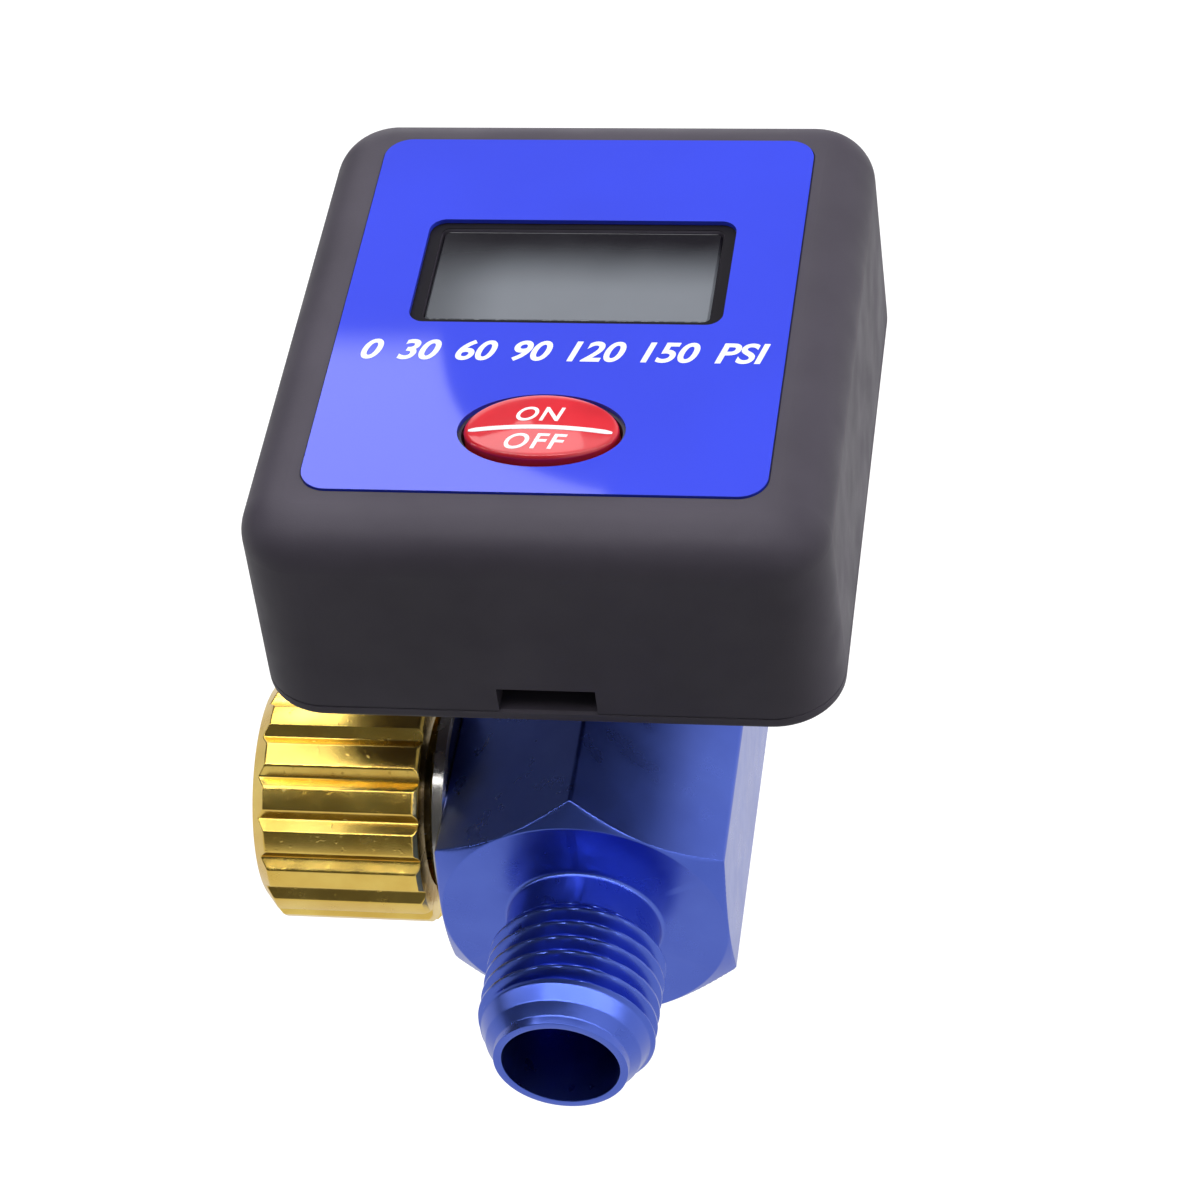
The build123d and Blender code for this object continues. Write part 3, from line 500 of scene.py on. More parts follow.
def divided(points, step, low, high, beyond=0.0):
    """The same outline with points added between low and high along the axis, beyond a radius."""
    result = [points[0]]
    for start, end in zip(points, points[1:]):
        along, out = ((a + b) / 2 for a, b in zip(start, end))
        count = 1
        if low <= along <= high and out >= beyond:
            count = max(1, math.ceil(math.dist(start, end) / step))
        for part in range(1, count + 1):
            share = part / count
            result.append(tuple(a + (b - a) * share for a, b in zip(start, end)))
    return result


def closed_mesh(name, points, faces):
    mesh = bpy.data.meshes.new(name)
    mesh.from_pydata(points, [], faces)
    face_outwards(mesh)
    return mesh


def turned_mesh(name, outline, angles, place, closed=False):
    """A mesh of revolution through (along, out) pairs, which place turns into points."""
    points, faces, rings = [], [], []
    for along, out in outline:
        first = len(points)
        points += [place(along, out, angle) for angle in (angles if out > 1e-7 else [0.0])]
        rings.append(range(first, len(points)))
    for near, far in zip(rings, rings[1:] + (rings[:1] if closed else [])):
        for index in range(len(angles)):
            after = (index + 1) % len(angles)
            corners = [ring[at % len(ring)] for ring, at in ((near, index), (near, after))]
            corners += [ring[at % len(ring)] for ring, at in ((far, after), (far, index))]
            # A pole counts once, which leaves a triangle
            faces.append(tuple(dict.fromkeys(corners)))
    return closed_mesh(name, points, faces)


def ringed_mesh(name, rings, looped=False):
    """A mesh through rings of equally many points, looped to the first ring or else capped."""
    count = len(rings[0])
    faces = []
    for ring in range(len(rings) if looped else len(rings) - 1):
        low, high = ring * count, (ring + 1) % len(rings) * count
        for index in range(count):
            after = (index + 1) % count
            faces.append((low + index, low + after, high + after, high + index))
    if not looped:
        last = (len(rings) - 1) * count
        faces += [tuple(range(count)), tuple(range(last, last + count))]
    return closed_mesh(name, sum(rings, []), faces)


def rounded_ring(centre, half_x, half_y, corner, z, steps=6):
    """Points of a rounded rectangle at one height, counterclockwise from +X."""
    points = []
    for sx, sy, start in ((1, 1, 0), (-1, 1, 90), (-1, -1, 180), (1, -1, 270)):
        for step in range(steps + 1):
            angle = math.radians(start + step * 90 / steps)
            x = centre.x + sx * (half_x - corner) + corner * math.cos(angle)
            y = centre.y + sy * (half_y - corner) + corner * math.sin(angle)
            points.append((x, y, z))
    return points


def face_outwards(mesh):
    work = bmesh.new()
    work.from_mesh(mesh)
    bmesh.ops.remove_doubles(work, verts=work.verts, dist=1e-7)
    bmesh.ops.recalc_face_normals(work, faces=work.faces)
    work.to_mesh(mesh)
    work.free()


def smooth_up_to(mesh, degrees):
    mesh.polygons.foreach_set("use_smooth", [True] * len(mesh.polygons))
    mesh.set_sharp_from_angle(angle=math.radians(degrees))


def add_object(name, mesh):
    piece = bpy.data.objects.new(name, mesh)
    bpy.context.scene.collection.objects.link(piece)
    return piece


def evaluated_mesh(piece):
    graph = bpy.context.evaluated_depsgraph_get()
    return bpy.data.meshes.new_from_object(piece.evaluated_get(graph))


def apply_modifiers(piece):
    mesh = evaluated_mesh(piece)
    piece.modifiers.clear()
    piece.data = mesh


def paint(piece, material):
    piece.data.materials.clear()
    piece.data.materials.append(material)


def finish_piece(piece, body, slot, *nodes):
    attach(piece, body)
    if nodes:
        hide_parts(*nodes)


def reshape(piece, name, course, values):
    """Moves a piece's points along a course, in a geometry tree with an input for each value."""
    kinds = {float: "Float", int: "Int", bpy.types.Material: "Material"}
    tree = bpy.data.node_groups.new(name, "GeometryNodeTree")
    for way in ("INPUT", "OUTPUT"):
        tree.interface.new_socket(name="Geometry", in_out=way, socket_type="NodeSocketGeometry")
    for label, value in values.items():
        kind = "NodeSocket" + kinds[type(value)]
        tree.interface.new_socket(name=label, in_out="INPUT", socket_type=kind)
    source = tree.nodes.new("NodeGroupInput")
    given = {socket.name: Flow(tree, socket) for socket in source.outputs if socket.name}
    place = add_node(tree, "GeometryNodeInputPosition", 0, {})
    inputs = {"Geometry": given["Geometry"], "Position": course(tree, given, *split(place))}
    moved = add_node(tree, "GeometryNodeSetPosition", 0, inputs)
    real = add_node(tree, "GeometryNodeRealizeInstances", 0, {0: moved})
    inputs = {"Geometry": real, "Material": given["Material"]}
    painted = add_node(tree, "GeometryNodeSetMaterial", 0, inputs)
    feed(tree, tree.nodes.new("NodeGroupOutput").inputs[0], painted)
    modifier = piece.modifiers.new(name, "NODES")
    modifier.node_group = tree
    for item in tree.interface.items_tree:
        if item.name in values:
            modifier[item.identifier] = values[item.name]
    apply_modifiers(piece)


def from_whole(turns):
    """Signed distance to the nearest whole number."""
    return turns - turns.by("ROUND")


def bar_course(tree, given, x, y, z):
    """Cuts a hexagon, an outside thread and an inside thread from a turned blank along Y."""
    crest, root, soft = (given[name] for name in ("Crest radius", "Root radius", "Thread softness"))
    out = (x * x + z * z).by("SQRT")
    turns = z.by("ARCTAN2", x) / FULL_TURN
    # Hexagon with flats towards +X and -X
    sector = from_whole(turns * 6.0)
    flat = given["Flat radius"] / (sector * (FULL_TURN / 6)).by("COSINE")
    barred = out.by("SMOOTH_MIN", flat, given["Corner softness"])
    # Thread profile: straight flanks with eased crests and roots
    wave = from_whole(y / given["Pitch"] + turns + given["Phase"])
    share = calc(tree, "SUBTRACT", 0.5, wave.by("ABSOLUTE") * 2.0)
    flank = (crest + root) * 0.5 + share * (given["Pitch"] * SHARP_THREAD_HEIGHT)
    thread = flank.by("SMOOTH_MIN", crest, soft).by("SMOOTH_MAX", root, soft)
    # Outside thread, fading out towards the tip's cone
    fade_end = given["Outside to"] + given["Outside run-out"]
    lifted = thread + y.eased(given["Outside to"], fade_end, 1.0, 0.0) * (crest - root)
    cut_outside = barred.by("SMOOTH_MIN", lifted, soft)
    is_outside = y.by("LESS_THAN", given["Outside from"])
    after_outside = barred + is_outside * (cut_outside - barred)
    # Inside thread of the inlet
    cut_inside = after_outside.by("SMOOTH_MAX", thread, soft)
    is_inside = y.by("GREATER_THAN", given["Inside to"])
    new_out = after_outside + is_inside * (cut_inside - after_outside)
    scale = new_out / out.by("MAXIMUM", 1e-6)
    return join(tree, x * scale, y, z * scale)


def groove_course(tree, given, x, y, z):
    """Cuts V-grooves into the rim of a turned blank whose axis is parallel to X."""
    across = y - given["Axis height"]
    out = (across * across + z * z).by("SQRT")
    turns = (z.by("ARCTAN2", across) - given["Phase"]) / FULL_TURN
    angle = from_whole(turns * given["Grooves"]) * FULL_TURN / given["Grooves"]
    # The small number rounds the bottom of the groove
    side = (angle.by("SINE").by("POWER", 2.0) + 4e-5).by("SQRT")
    lean = angle.by("COSINE") - side * given["Slope"]
    flank = (given["Rim radius"] - given["Depth"]) / lean
    scale = out.by("SMOOTH_MIN", flank, given["Softness"]) / out
    return join(tree, x, across * scale + given["Axis height"], z * scale)


class REGULATOR_OT_body(bpy.types.Operator):
    """Turn, mill and thread the hexagon body"""

    bl_idname = "regulator.body"
    bl_label = "Regulator body"

    def outline(self, sizes):
        """(along Y, out) pairs from the inlet's drill point around to the outlet's drill point."""
        front = -sizes.hex_length
        face, corner = sizes.hex_face_radius, sizes.hex_corner_radius
        chamfer = (corner - face) * math.tan(math.radians(sizes.hex_chamfer_angle))
        neck_end = front - sizes.neck_length
        thread_start = neck_end - (THREAD_RADIUS - sizes.neck_radius)
        thread_end = thread_start - sizes.thread_length
        land = thread_end - sizes.land_step
        cone_end = land - sizes.cone_length
        nose_end = cone_end - sizes.nose_length
        tip = BODY_LOW.y
        bore_end = tip + OUTLET_BORE_DEPTH
        drill_slope = math.tan(math.radians(30))
        countersink = THREAD_RADIUS - THREAD_ROOT_RADIUS
        fillet = [
            (
                front - sizes.root_fillet + sizes.root_fillet * math.cos(angle),
                sizes.neck_radius + sizes.root_fillet - sizes.root_fillet * math.sin(angle),
            )
            for angle in (step * math.pi / 12 for step in range(7))
        ]
        inlet = [
            (-sizes.inlet_depth - THREAD_ROOT_RADIUS * drill_slope, 0.0),
            (-sizes.inlet_depth, THREAD_ROOT_RADIUS),
            (-countersink, THREAD_ROOT_RADIUS),
            (0.0, THREAD_RADIUS),
        ]
        bar = [(0.0, face), (-chamfer, corner), (front + chamfer, corner), (front, face)]
        nozzle = [
            (neck_end, sizes.neck_radius),
            (thread_start, THREAD_RADIUS),
            (thread_end, THREAD_RADIUS),
            (land, sizes.land_radius),
            (cone_end, sizes.cone_radius),
            (nose_end, sizes.tip_radius),
            (tip, sizes.tip_radius),
            (tip, OUTLET_BORE_RADIUS),
            (bore_end, OUTLET_BORE_RADIUS),
            (bore_end + OUTLET_BORE_RADIUS * drill_slope, 0.0),
        ]
        broken_edge = 0.09 * MM
        bar = softened([inlet[-1]] + bar + [fillet[0]], broken_edge)[1:-1]
        nozzle = softened([fillet[-1]] + nozzle, broken_edge)[1:]
        # Points stand close together only where the tree cuts something from them
        inlet = divided(inlet, 0.11 * MM, -sizes.inlet_depth, 0.0)
        bar = divided(bar, 0.055 * MM, -chamfer, 0.0)
        bar = divided(bar, 0.055 * MM, front, front + chamfer)
        bar = divided(bar, 1.0 * MM, front + chamfer, -chamfer)
        thread_reach = thread_start + sizes.thread_pitch
        nozzle = divided(nozzle, 0.065 * MM, land, thread_reach, THREAD_ROOT_RADIUS)
        return inlet + bar + fillet + nozzle, thread_end

    def columns(self):
        """Angles about the axis, closer together at the bar's six corners."""
        half = [0, 2.5, 5, 7.5, 10, 12.5, 15, 17.5, 20]
        half += [22.3, 24.5, 26.3, 27.6, 28.4, 28.9, 29.3, 29.65]
        shares = [-share for share in reversed(half[1:])] + half + [30]
        return [math.radians(60 * side + share) for side in range(6) for share in shares]

    def drills(self, sizes):
        """Ports and passages that cross the bar, as (name, base, direction, radius, length)."""
        knob, stem = Vector((0, KNOB_AXIS_Y, 0)), Vector((0, STEM_AXIS_Y, 0))
        inwards, up, front = Vector((1, 0, 0)), Vector((0, 0, 1)), Vector((0, -1, 0))
        outside = 13 * MM
        chamber = BONNET_END - 0.2 * MM
        chamber_length = -BONNET_END - 0.3 * MM
        flat = sizes.spot_face_height
        from_inlet = Vector((-2.9 * MM, -9 * MM, 0))
        to_outlet = Vector((2.4 * MM, -16.6 * MM, 0))
        side_port, gauge_port = sizes.side_port_radius, sizes.gauge_port_radius
        return [
            ("side_port", knob + inwards * -outside, inwards, side_port, BONNET_END + outside),
            ("chamber", knob + inwards * chamber, inwards, sizes.chamber_radius, chamber_length),
            ("seat", knob + inwards * (-1 * MM), inwards, sizes.seat_radius, 3.4 * MM),
            ("spot_face", stem + up * flat, up, sizes.spot_face_radius, 5 * MM),
            ("gauge_port", stem + up * (flat - 4.8 * MM), up, gauge_port, 6 * MM),
            ("inlet_passage", from_inlet, front, sizes.inlet_passage_radius, 23 * MM),
            ("outlet_passage", to_outlet, front, sizes.outlet_passage_radius, 25 * MM),
        ]

    def drill(self, context, bar, sizes):
        tools = bpy.data.collections.new("drills")
        for name, base, direction, radius, reach in self.drills(sizes):
            turn = direction.to_track_quat("Z", "Y").to_matrix().to_4x4()
            work = bmesh.new()
            bmesh.ops.create_cone(
                work,
                cap_ends=True,
                segments=96,
                radius1=radius,
                radius2=radius,
                depth=reach,
                matrix=Matrix.Translation(base + direction * reach / 2) @ turn,
            )
            mesh = bpy.data.meshes.new(name)
            work.to_mesh(mesh)
            work.free()
            tools.objects.link(bpy.data.objects.new(name, mesh))
        context.scene.collection.children.link(tools)
        whole = len(bar.data.polygons)
        cut = bar.modifiers.new("drilled", "BOOLEAN")
        cut.operation = "DIFFERENCE"
        cut.operand_type = "COLLECTION"
        cut.collection = tools
        cut.solver = "EXACT"
        apply_modifiers(bar)
        for tool in list(tools.objects):
            bpy.data.objects.remove(tool)
        bpy.data.collections.remove(tools)
        if len(bar.data.polygons) < whole / 2:
            raise RuntimeError("the body lost its faces while it was drilled")

    def execute(self, context):
        sizes = context.scene.regulator_sizes
        outline, thread_end = self.outline(sizes)
        mesh = turned_mesh(
            "regulator_bar",
            outline,
            self.columns(),
            lambda along, out, angle: (out * math.cos(angle), along, out * math.sin(angle)),
        )
        bar = add_object("threaded_hexagon_body", mesh)
        blue = body_finish(sizes, context.scene.regulator_colours)
        values = {
            "Flat radius": BODY_HIGH.x,
            "Corner softness": 0.03 * MM,
            "Crest radius": THREAD_RADIUS,
            "Root radius": THREAD_ROOT_RADIUS,
            "Pitch": sizes.thread_pitch,
            "Phase": sizes.thread_phase,
            "Thread softness": 0.045 * MM,
            "Outside from": -sizes.hex_length - sizes.neck_length + 0.3 * MM,
            "Outside to": thread_end - 0.35 * MM,
            "Outside run-out": 0.45 * MM,
            "Inside to": -sizes.inlet_depth + 1.0 * MM,
            "Material": blue,
        }
        reshape(bar, "hexagon_and_threads", bar_course, values)
        self.drill(context, bar, sizes)
        paint(bar, blue)
        smooth_up_to(bar.data, 32)
        even = bar.modifiers.new("even_shading", "WEIGHTED_NORMAL")
        even.keep_sharp = True
        even.weight = 80
        apply_modifiers(bar)
        finish_piece(bar, "root", "blue_anodised", "regulator_body")
        return {"FINISHED"}


class REGULATOR_OT_knob(bpy.types.Operator):
    """Turn the knob's cup and cut its grooves"""

    bl_idname = "regulator.knob"
    bl_label = "Adjusting knob"

    def execute(self, context):
        sizes = context.scene.regulator_sizes
        outer, inner = KNOB_LOW.x, KNOB_HIGH.x
        rim = (KNOB_HIGH.z - KNOB_LOW.z) / 2
        web = outer + sizes.knob_web
        seat = web - sizes.knob_spigot_length
        head_seat = seat - sizes.knob_screw_floor
        outline = [
            (head_seat, sizes.knob_screw_well),
            (outer, sizes.knob_screw_well),
            (outer, rim - sizes.knob_chamfer_height),
            (outer + sizes.knob_chamfer_length, rim),
            (inner - sizes.knob_inner_chamfer, rim),
            (inner, rim - sizes.knob_inner_chamfer),
            (inner, sizes.knob_cavity_radius),
            (web, sizes.knob_cavity_radius),
            (web, sizes.knob_bore_radius),
            (seat, sizes.knob_bore_radius),
            (seat, sizes.knob_screw_hole),
            (head_seat, sizes.knob_screw_hole),
        ]
        shape = softened(outline, 0.12 * MM, closed=True)
        # Points stand close together only where a groove runs out through a chamfer
        grooved = rim - sizes.knob_groove_depth - 0.2 * MM
        shape = divided(shape, 0.07 * MM, outer, outer + sizes.knob_chamfer_length, grooved)
        shape = divided(shape, 0.07 * MM, inner - sizes.knob_inner_chamfer, inner, grooved)
        columns = sizes.knob_grooves * 44
        mesh = turned_mesh(
            "knob_blank",
            shape,
            [FULL_TURN * index / columns for index in range(columns)],
            lambda along, out, angle: (
                along,
                KNOB_AXIS_Y + out * math.cos(angle),
                out * math.sin(angle),
            ),
            closed=True,
        )
        knob = add_object("grooved_knob", mesh)
        gold = gold_finish(context.scene.regulator_colours)
        values = {
            "Grooves": sizes.knob_grooves,
            "Rim radius": rim,
            "Depth": sizes.knob_groove_depth,
            "Slope": sizes.knob_groove_slope,
            "Phase": math.radians(sizes.knob_groove_phase),
            "Softness": 0.1 * MM,
            "Axis height": KNOB_AXIS_Y,
            "Material": gold,
        }
        reshape(knob, "rim_grooves", groove_course, values)
        face_outwards(knob.data)
        paint(knob, gold)
        smooth_up_to(knob.data, 40)
        finish_piece(knob, "knob", "gold_anodised", "adjusting_knob")
        return {"FINISHED"}


def printed_mesh(text, height, centre, thickness, boldness=0.045, spacing=1.0, width=None):
    """A slanted word as a thin mesh, centred on a point and stretched to a width if one is set."""
    curve = bpy.data.curves.new("print_" + text, "FONT")
    curve.body = text
    curve.align_x = "CENTER"
    curve.shear = 0.28
    curve.space_character = spacing
    curve.offset = boldness / 2
    curve.extrude = 0.5
    curve.resolution_u = 6
    holder = add_object("print_" + text, curve)
    mesh = evaluated_mesh(holder)
    bpy.data.objects.remove(holder)
    lows, highs = (
        [edge(vertex.co[axis] for vertex in mesh.vertices) for axis in range(2)]
        for edge in (min, max)
    )
    grow_y = height / (highs[1] - lows[1])
    grow_x = width / (highs[0] - lows[0]) if width else grow_y
    middle_x, middle_y = ((low + high) / 2 for low, high in zip(lows, highs))
    for vertex in mesh.vertices:
        vertex.co.x = centre.x + (vertex.co.x - middle_x) * grow_x
        vertex.co.y = centre.y + (vertex.co.y - middle_y) * grow_y
        vertex.co.z = centre.z + (thickness if vertex.co.z > 0 else 0.0)
    face_outwards(mesh)
    return mesh


def add_print(name, meshes, body, material):
    """Joins printed words into one piece."""
    work = bmesh.new()
    for mesh in meshes:
        work.from_mesh(mesh)
    joined = bpy.data.meshes.new(name)
    work.to_mesh(joined)
    work.free()
    joined.materials.append(material)
    finish_piece(add_object(name, joined), body, "white_plastic")


class REGULATOR_OT_label(bpy.types.Operator):
    """Print a plain pressure scale on the label"""

    bl_idname = "regulator.label"
    bl_label = "Label print"

    def execute(self, context):
        sizes = context.scene.regulator_sizes
        sunk = 0.004 * MM
        centre = Vector((0, sizes.scale_row, LABEL_HIGH.z - sunk))
        meshes = [
            printed_mesh(word, sizes.print_height, centre, sizes.print_thickness)
            for word in ("0", "30", "60", "90", "120", "150", "PSI")
        ]
        spans = [
            [edge(vertex.co.x for vertex in mesh.vertices) for edge in (min, max)]
            for mesh in meshes
        ]
        free = sizes.scale_right - sizes.scale_left - sum(high - low for low, high in spans)
        reach = sizes.scale_left
        for mesh, (low, high) in zip(meshes, spans):
            mesh.transform(Matrix.Translation((reach - low, 0, 0)))
            reach += high - low + free / (len(meshes) - 1)
        ink = ink_finish(context.scene.regulator_colours)
        add_print("scale_numbers", meshes, "root", ink)
        return {"FINISHED"}


class REGULATOR_OT_display(bpy.types.Operator):
    """Fit the display glass with ground edges and the black ring around it"""

    bl_idname = "regulator.display"
    bl_label = "Display glass"

    def execute(self, context):
        sizes = context.scene.regulator_sizes
        colours = context.scene.regulator_colours
        half = (GLASS_HIGH - GLASS_LOW) / 2
        corner, ground = sizes.glass_corner, sizes.glass_ground_edge
        bottom, top = GLASS_LOW.z, GLASS_HIGH.z
        rings = [
            rounded_ring(GLASS_CENTRE, half.x - inset, half.y - inset, corner - inset, z)
            for inset, z in ((0.0, bottom), (0.0, top - ground), (ground, top))
        ]
        glass = ringed_mesh("display_pane", rings)
        glass.materials.append(display_finish(colours))
        smooth_up_to(glass, 25)
        pane = add_object("display_pane", glass)
        finish_piece(pane, "root", "display_glass", "lcd_front_glass")

        # A near-black ring over the ledge around the glass: painted shade for the window's ledge
        ledge, gap, play = LABEL_LOW.z, 0.12 * MM, 0.03 * MM
        top = ledge + 0.06 * MM
        inner = (half.x + gap, half.y + gap, corner + gap)
        outer = (
            half.x + sizes.window_side_ledge - play,
            half.y + sizes.window_end_ledge - play,
            sizes.window_corner,
        )
        levels = ((inner, ledge - 0.3 * MM), (inner, top), (outer, top), (outer, ledge - 0.02 * MM))
        rings = [rounded_ring(GLASS_CENTRE, *size, z) for size, z in levels]
        ring = ringed_mesh("window_border", rings, looped=True)
        ring.materials.append(
            plain_finish("black_border_ink", colours.ledge_shade_black, 0.45, specular=0.1)
        )
        smooth_up_to(ring, 30)
        finish_piece(add_object("window_border", ring), "root", "black_plastic")
        return {"FINISHED"}


class REGULATOR_OT_button(bpy.types.Operator):
    """Mould the crowned button, its dividing line and its words"""

    bl_idname = "regulator.button"
    bl_label = "Power button"

    def crown(self, sizes, x, y):
        """Height of the button's crown over a point of its outline."""
        away = (x - BUTTON_CENTRE.x) ** 2 + (y - BUTTON_CENTRE.y) ** 2
        radius = sizes.button_crown_radius
        return BUTTON_HIGH.z - radius + math.sqrt(radius ** 2 - away)

    def execute(self, context):
        sizes = context.scene.regulator_sizes
        colours = context.scene.regulator_colours
        flange, rim, bottom = sizes.button_flange, sizes.button_rim, BUTTON_LOW.z
        top, edge = bottom + 0.7 * MM, 0.05 * MM
        half_x = (BUTTON_HIGH.x - BUTTON_LOW.x) / 2 - flange
        half_y = (BUTTON_HIGH.y - BUTTON_LOW.y) / 2 - flange

        # Rows are ((inset, drop below the crown, height instead of it), share of the outline)
        rows = [((rim, 0.0, None), share / 10) for share in range(10)]
        for turn in (math.radians(15 * step) for step in range(7)):
            inset, drop = rim * (1 - math.sin(turn)), rim * (1 - math.cos(turn))
            rows.append(((inset, drop, None), 1.0))
        rows += [
            ((0.0, 0.0, top + 0.06 * MM), 1.0),
            ((-0.06 * MM, 0.0, top), 1.0),
            ((-flange + edge, 0.0, top), 1.0),
            ((-flange, 0.0, top - edge), 1.0),
            ((-flange, 0.0, bottom + edge), 1.0),
            ((-flange + edge, 0.0, bottom), 1.0),
            ((0.0, 0.0, bottom), 0.0),
        ]

        def place(row, share, angle):
            inset, drop, height = row
            x = BUTTON_CENTRE.x + (half_x - inset) * share * math.cos(angle)
            y = BUTTON_CENTRE.y + (half_y - inset) * share * math.sin(angle)
            return x, y, self.crown(sizes, x, y) - drop if height is None else height

        angles = [FULL_TURN * index / 96 for index in range(96)]
        mesh = turned_mesh("button_cap", rows, angles, place)
        mesh.materials.append(button_finish(colours))
        smooth_up_to(mesh, 50)
        cap = add_object("button_cap", mesh)
        finish_piece(cap, "button", "red_plastic", "power_button")
        self.add_line(sizes, half_x - 0.42 * MM, ink_finish(colours))
        self.add_words(sizes, ink_finish(colours))
        return {"FINISHED"}

    def add_line(self, sizes, reach, ink):
        """A raised line across the crown, with blunt ends."""
        half_width = sizes.button_line_width / 2
        middle = BUTTON_CENTRE.y - 0.4 * MM
        section = ((-1, -0.05), (-1, 0.02), (-0.6, 0.05), (0.6, 0.05), (1, 0.02), (1, -0.05))
        steps = 40
        rings = []
        for step in range(steps + 1):
            x = BUTTON_CENTRE.x - reach + 2 * reach * step / steps
            taper = min(1.0, 0.5 + 12 * min(step, steps - step) / steps)
            ring = []
            for side, lift in section:
                y = middle + side * half_width * taper
                ring.append((x, y, self.crown(sizes, x, y) + lift * MM))
            rings.append(ring)
        mesh = ringed_mesh("button_line", rings)
        mesh.materials.append(ink)
        smooth_up_to(mesh, 40)
        finish_piece(add_object("button_line", mesh), "button", "white_plastic")

    def add_words(self, sizes, ink):
        """ON above the line and OFF below it, bent over the crown."""
        meshes = []
        for word, offset, width in (("ON", 0.95 * MM, 3.4 * MM), ("OFF", -1.75 * MM, 4.4 * MM)):
            place = Vector((BUTTON_CENTRE.x - 0.1 * MM, BUTTON_CENTRE.y + offset, 0.0))
            mesh = printed_mesh(
                word, sizes.word_height, place, MM, boldness=0.03, spacing=1.15, width=width
            )
            for vertex in mesh.vertices:
                side = 1 if vertex.co.z > MM / 2 else -1
                height = self.crown(sizes, vertex.co.x, vertex.co.y)
                vertex.co.z = height + side * sizes.print_thickness
            meshes.append(mesh)
        add_print("button_words", meshes, "button", ink)


class REGULATOR_OT_finishes(bpy.types.Operator):
    """Give every carried-over node its finish"""

    bl_idname = "regulator.finishes"
    bl_label = "Finishes"

    def execute(self, context):
        sizes = context.scene.regulator_sizes
        colours = context.scene.regulator_colours
        nickel, brass = colours.nickel, colours.brass
        finishes = (
            (turned_metal("nickel_plate_bonnet", nickel, "X", KNOB_AXIS_Y), "bonnet"),
            (turned_metal("nickel_plate_stem", nickel, "Z", STEM_AXIS_Y), "gauge_stem stem_nut"),
            (
                turned_metal("turned_brass", brass, "X", KNOB_AXIS_Y),
                "valve_stem valve_plug sensor_retainer sensor_pins",
            ),
            (
                plain_finish("plain_steel", colours.steel, 0.28, metallic=1.0),
                "knob_screw board_screws battery battery_clip",
            ),
            (
                plain_finish("seal_rubber", colours.rubber, 0.6),
                "bonnet_o_ring stem_o_ring plug_seal stem_gasket sensor_o_ring zebra_strips",
            ),
            (plain_finish("sensor_ceramic", colours.ceramic, 0.45), "pressure_sensor"),
            (plain_finish("white_moulding", colours.white_plastic, 0.45), "lcd_frame"),
            (plain_finish("solder_mask", colours.board_green, 0.35), "circuit_board"),
            (
                plain_finish("chip_resin", colours.rubber, 0.45),
                "controller_chip switch_body switch_plunger",
            ),
            (case_finish(colours), "front_housing back_cover"),
            (label_finish(colours), "front_label"),
            (display_finish(colours), "lcd_rear_glass lcd_front_glass"),
            (body_finish(sizes, colours), "regulator_body"),
            (gold_finish(colours), "adjusting_knob"),
            (button_finish(colours), "power_button"),
        )
        left_out = set(NODES)
        for material, names in finishes:
            for name in names.split():
                paint(NODES[name], material)
                left_out.discard(name)
        if left_out:
            raise RuntimeError(f"these nodes have no finish: {sorted(left_out)}")
        return {"FINISHED"}


def stage_tree(owner, output):
    """The emptied tree of a stage material or world, and its output's surface."""
    owner.use_nodes = True
    tree = owner.node_tree
    tree.nodes.clear()
    return tree, tree.nodes.new(output).inputs["Surface"]


def lit(tree, strength):
    return add_node(tree, "ShaderNodeEmission", 0, {"Strength": strength})


def seen_rays(tree):
    """Shares of the rays that show the stage itself, and of those that show it in gloss."""
    camera = add_node(tree, "ShaderNodeLightPath", "Is Camera Ray", {})
    rays = camera.socket.node.outputs
    seen = camera.by("MAXIMUM", Flow(tree, rays["Is Transmission Ray"]))
    return seen, Flow(tree, rays["Is Glossy Ray"])


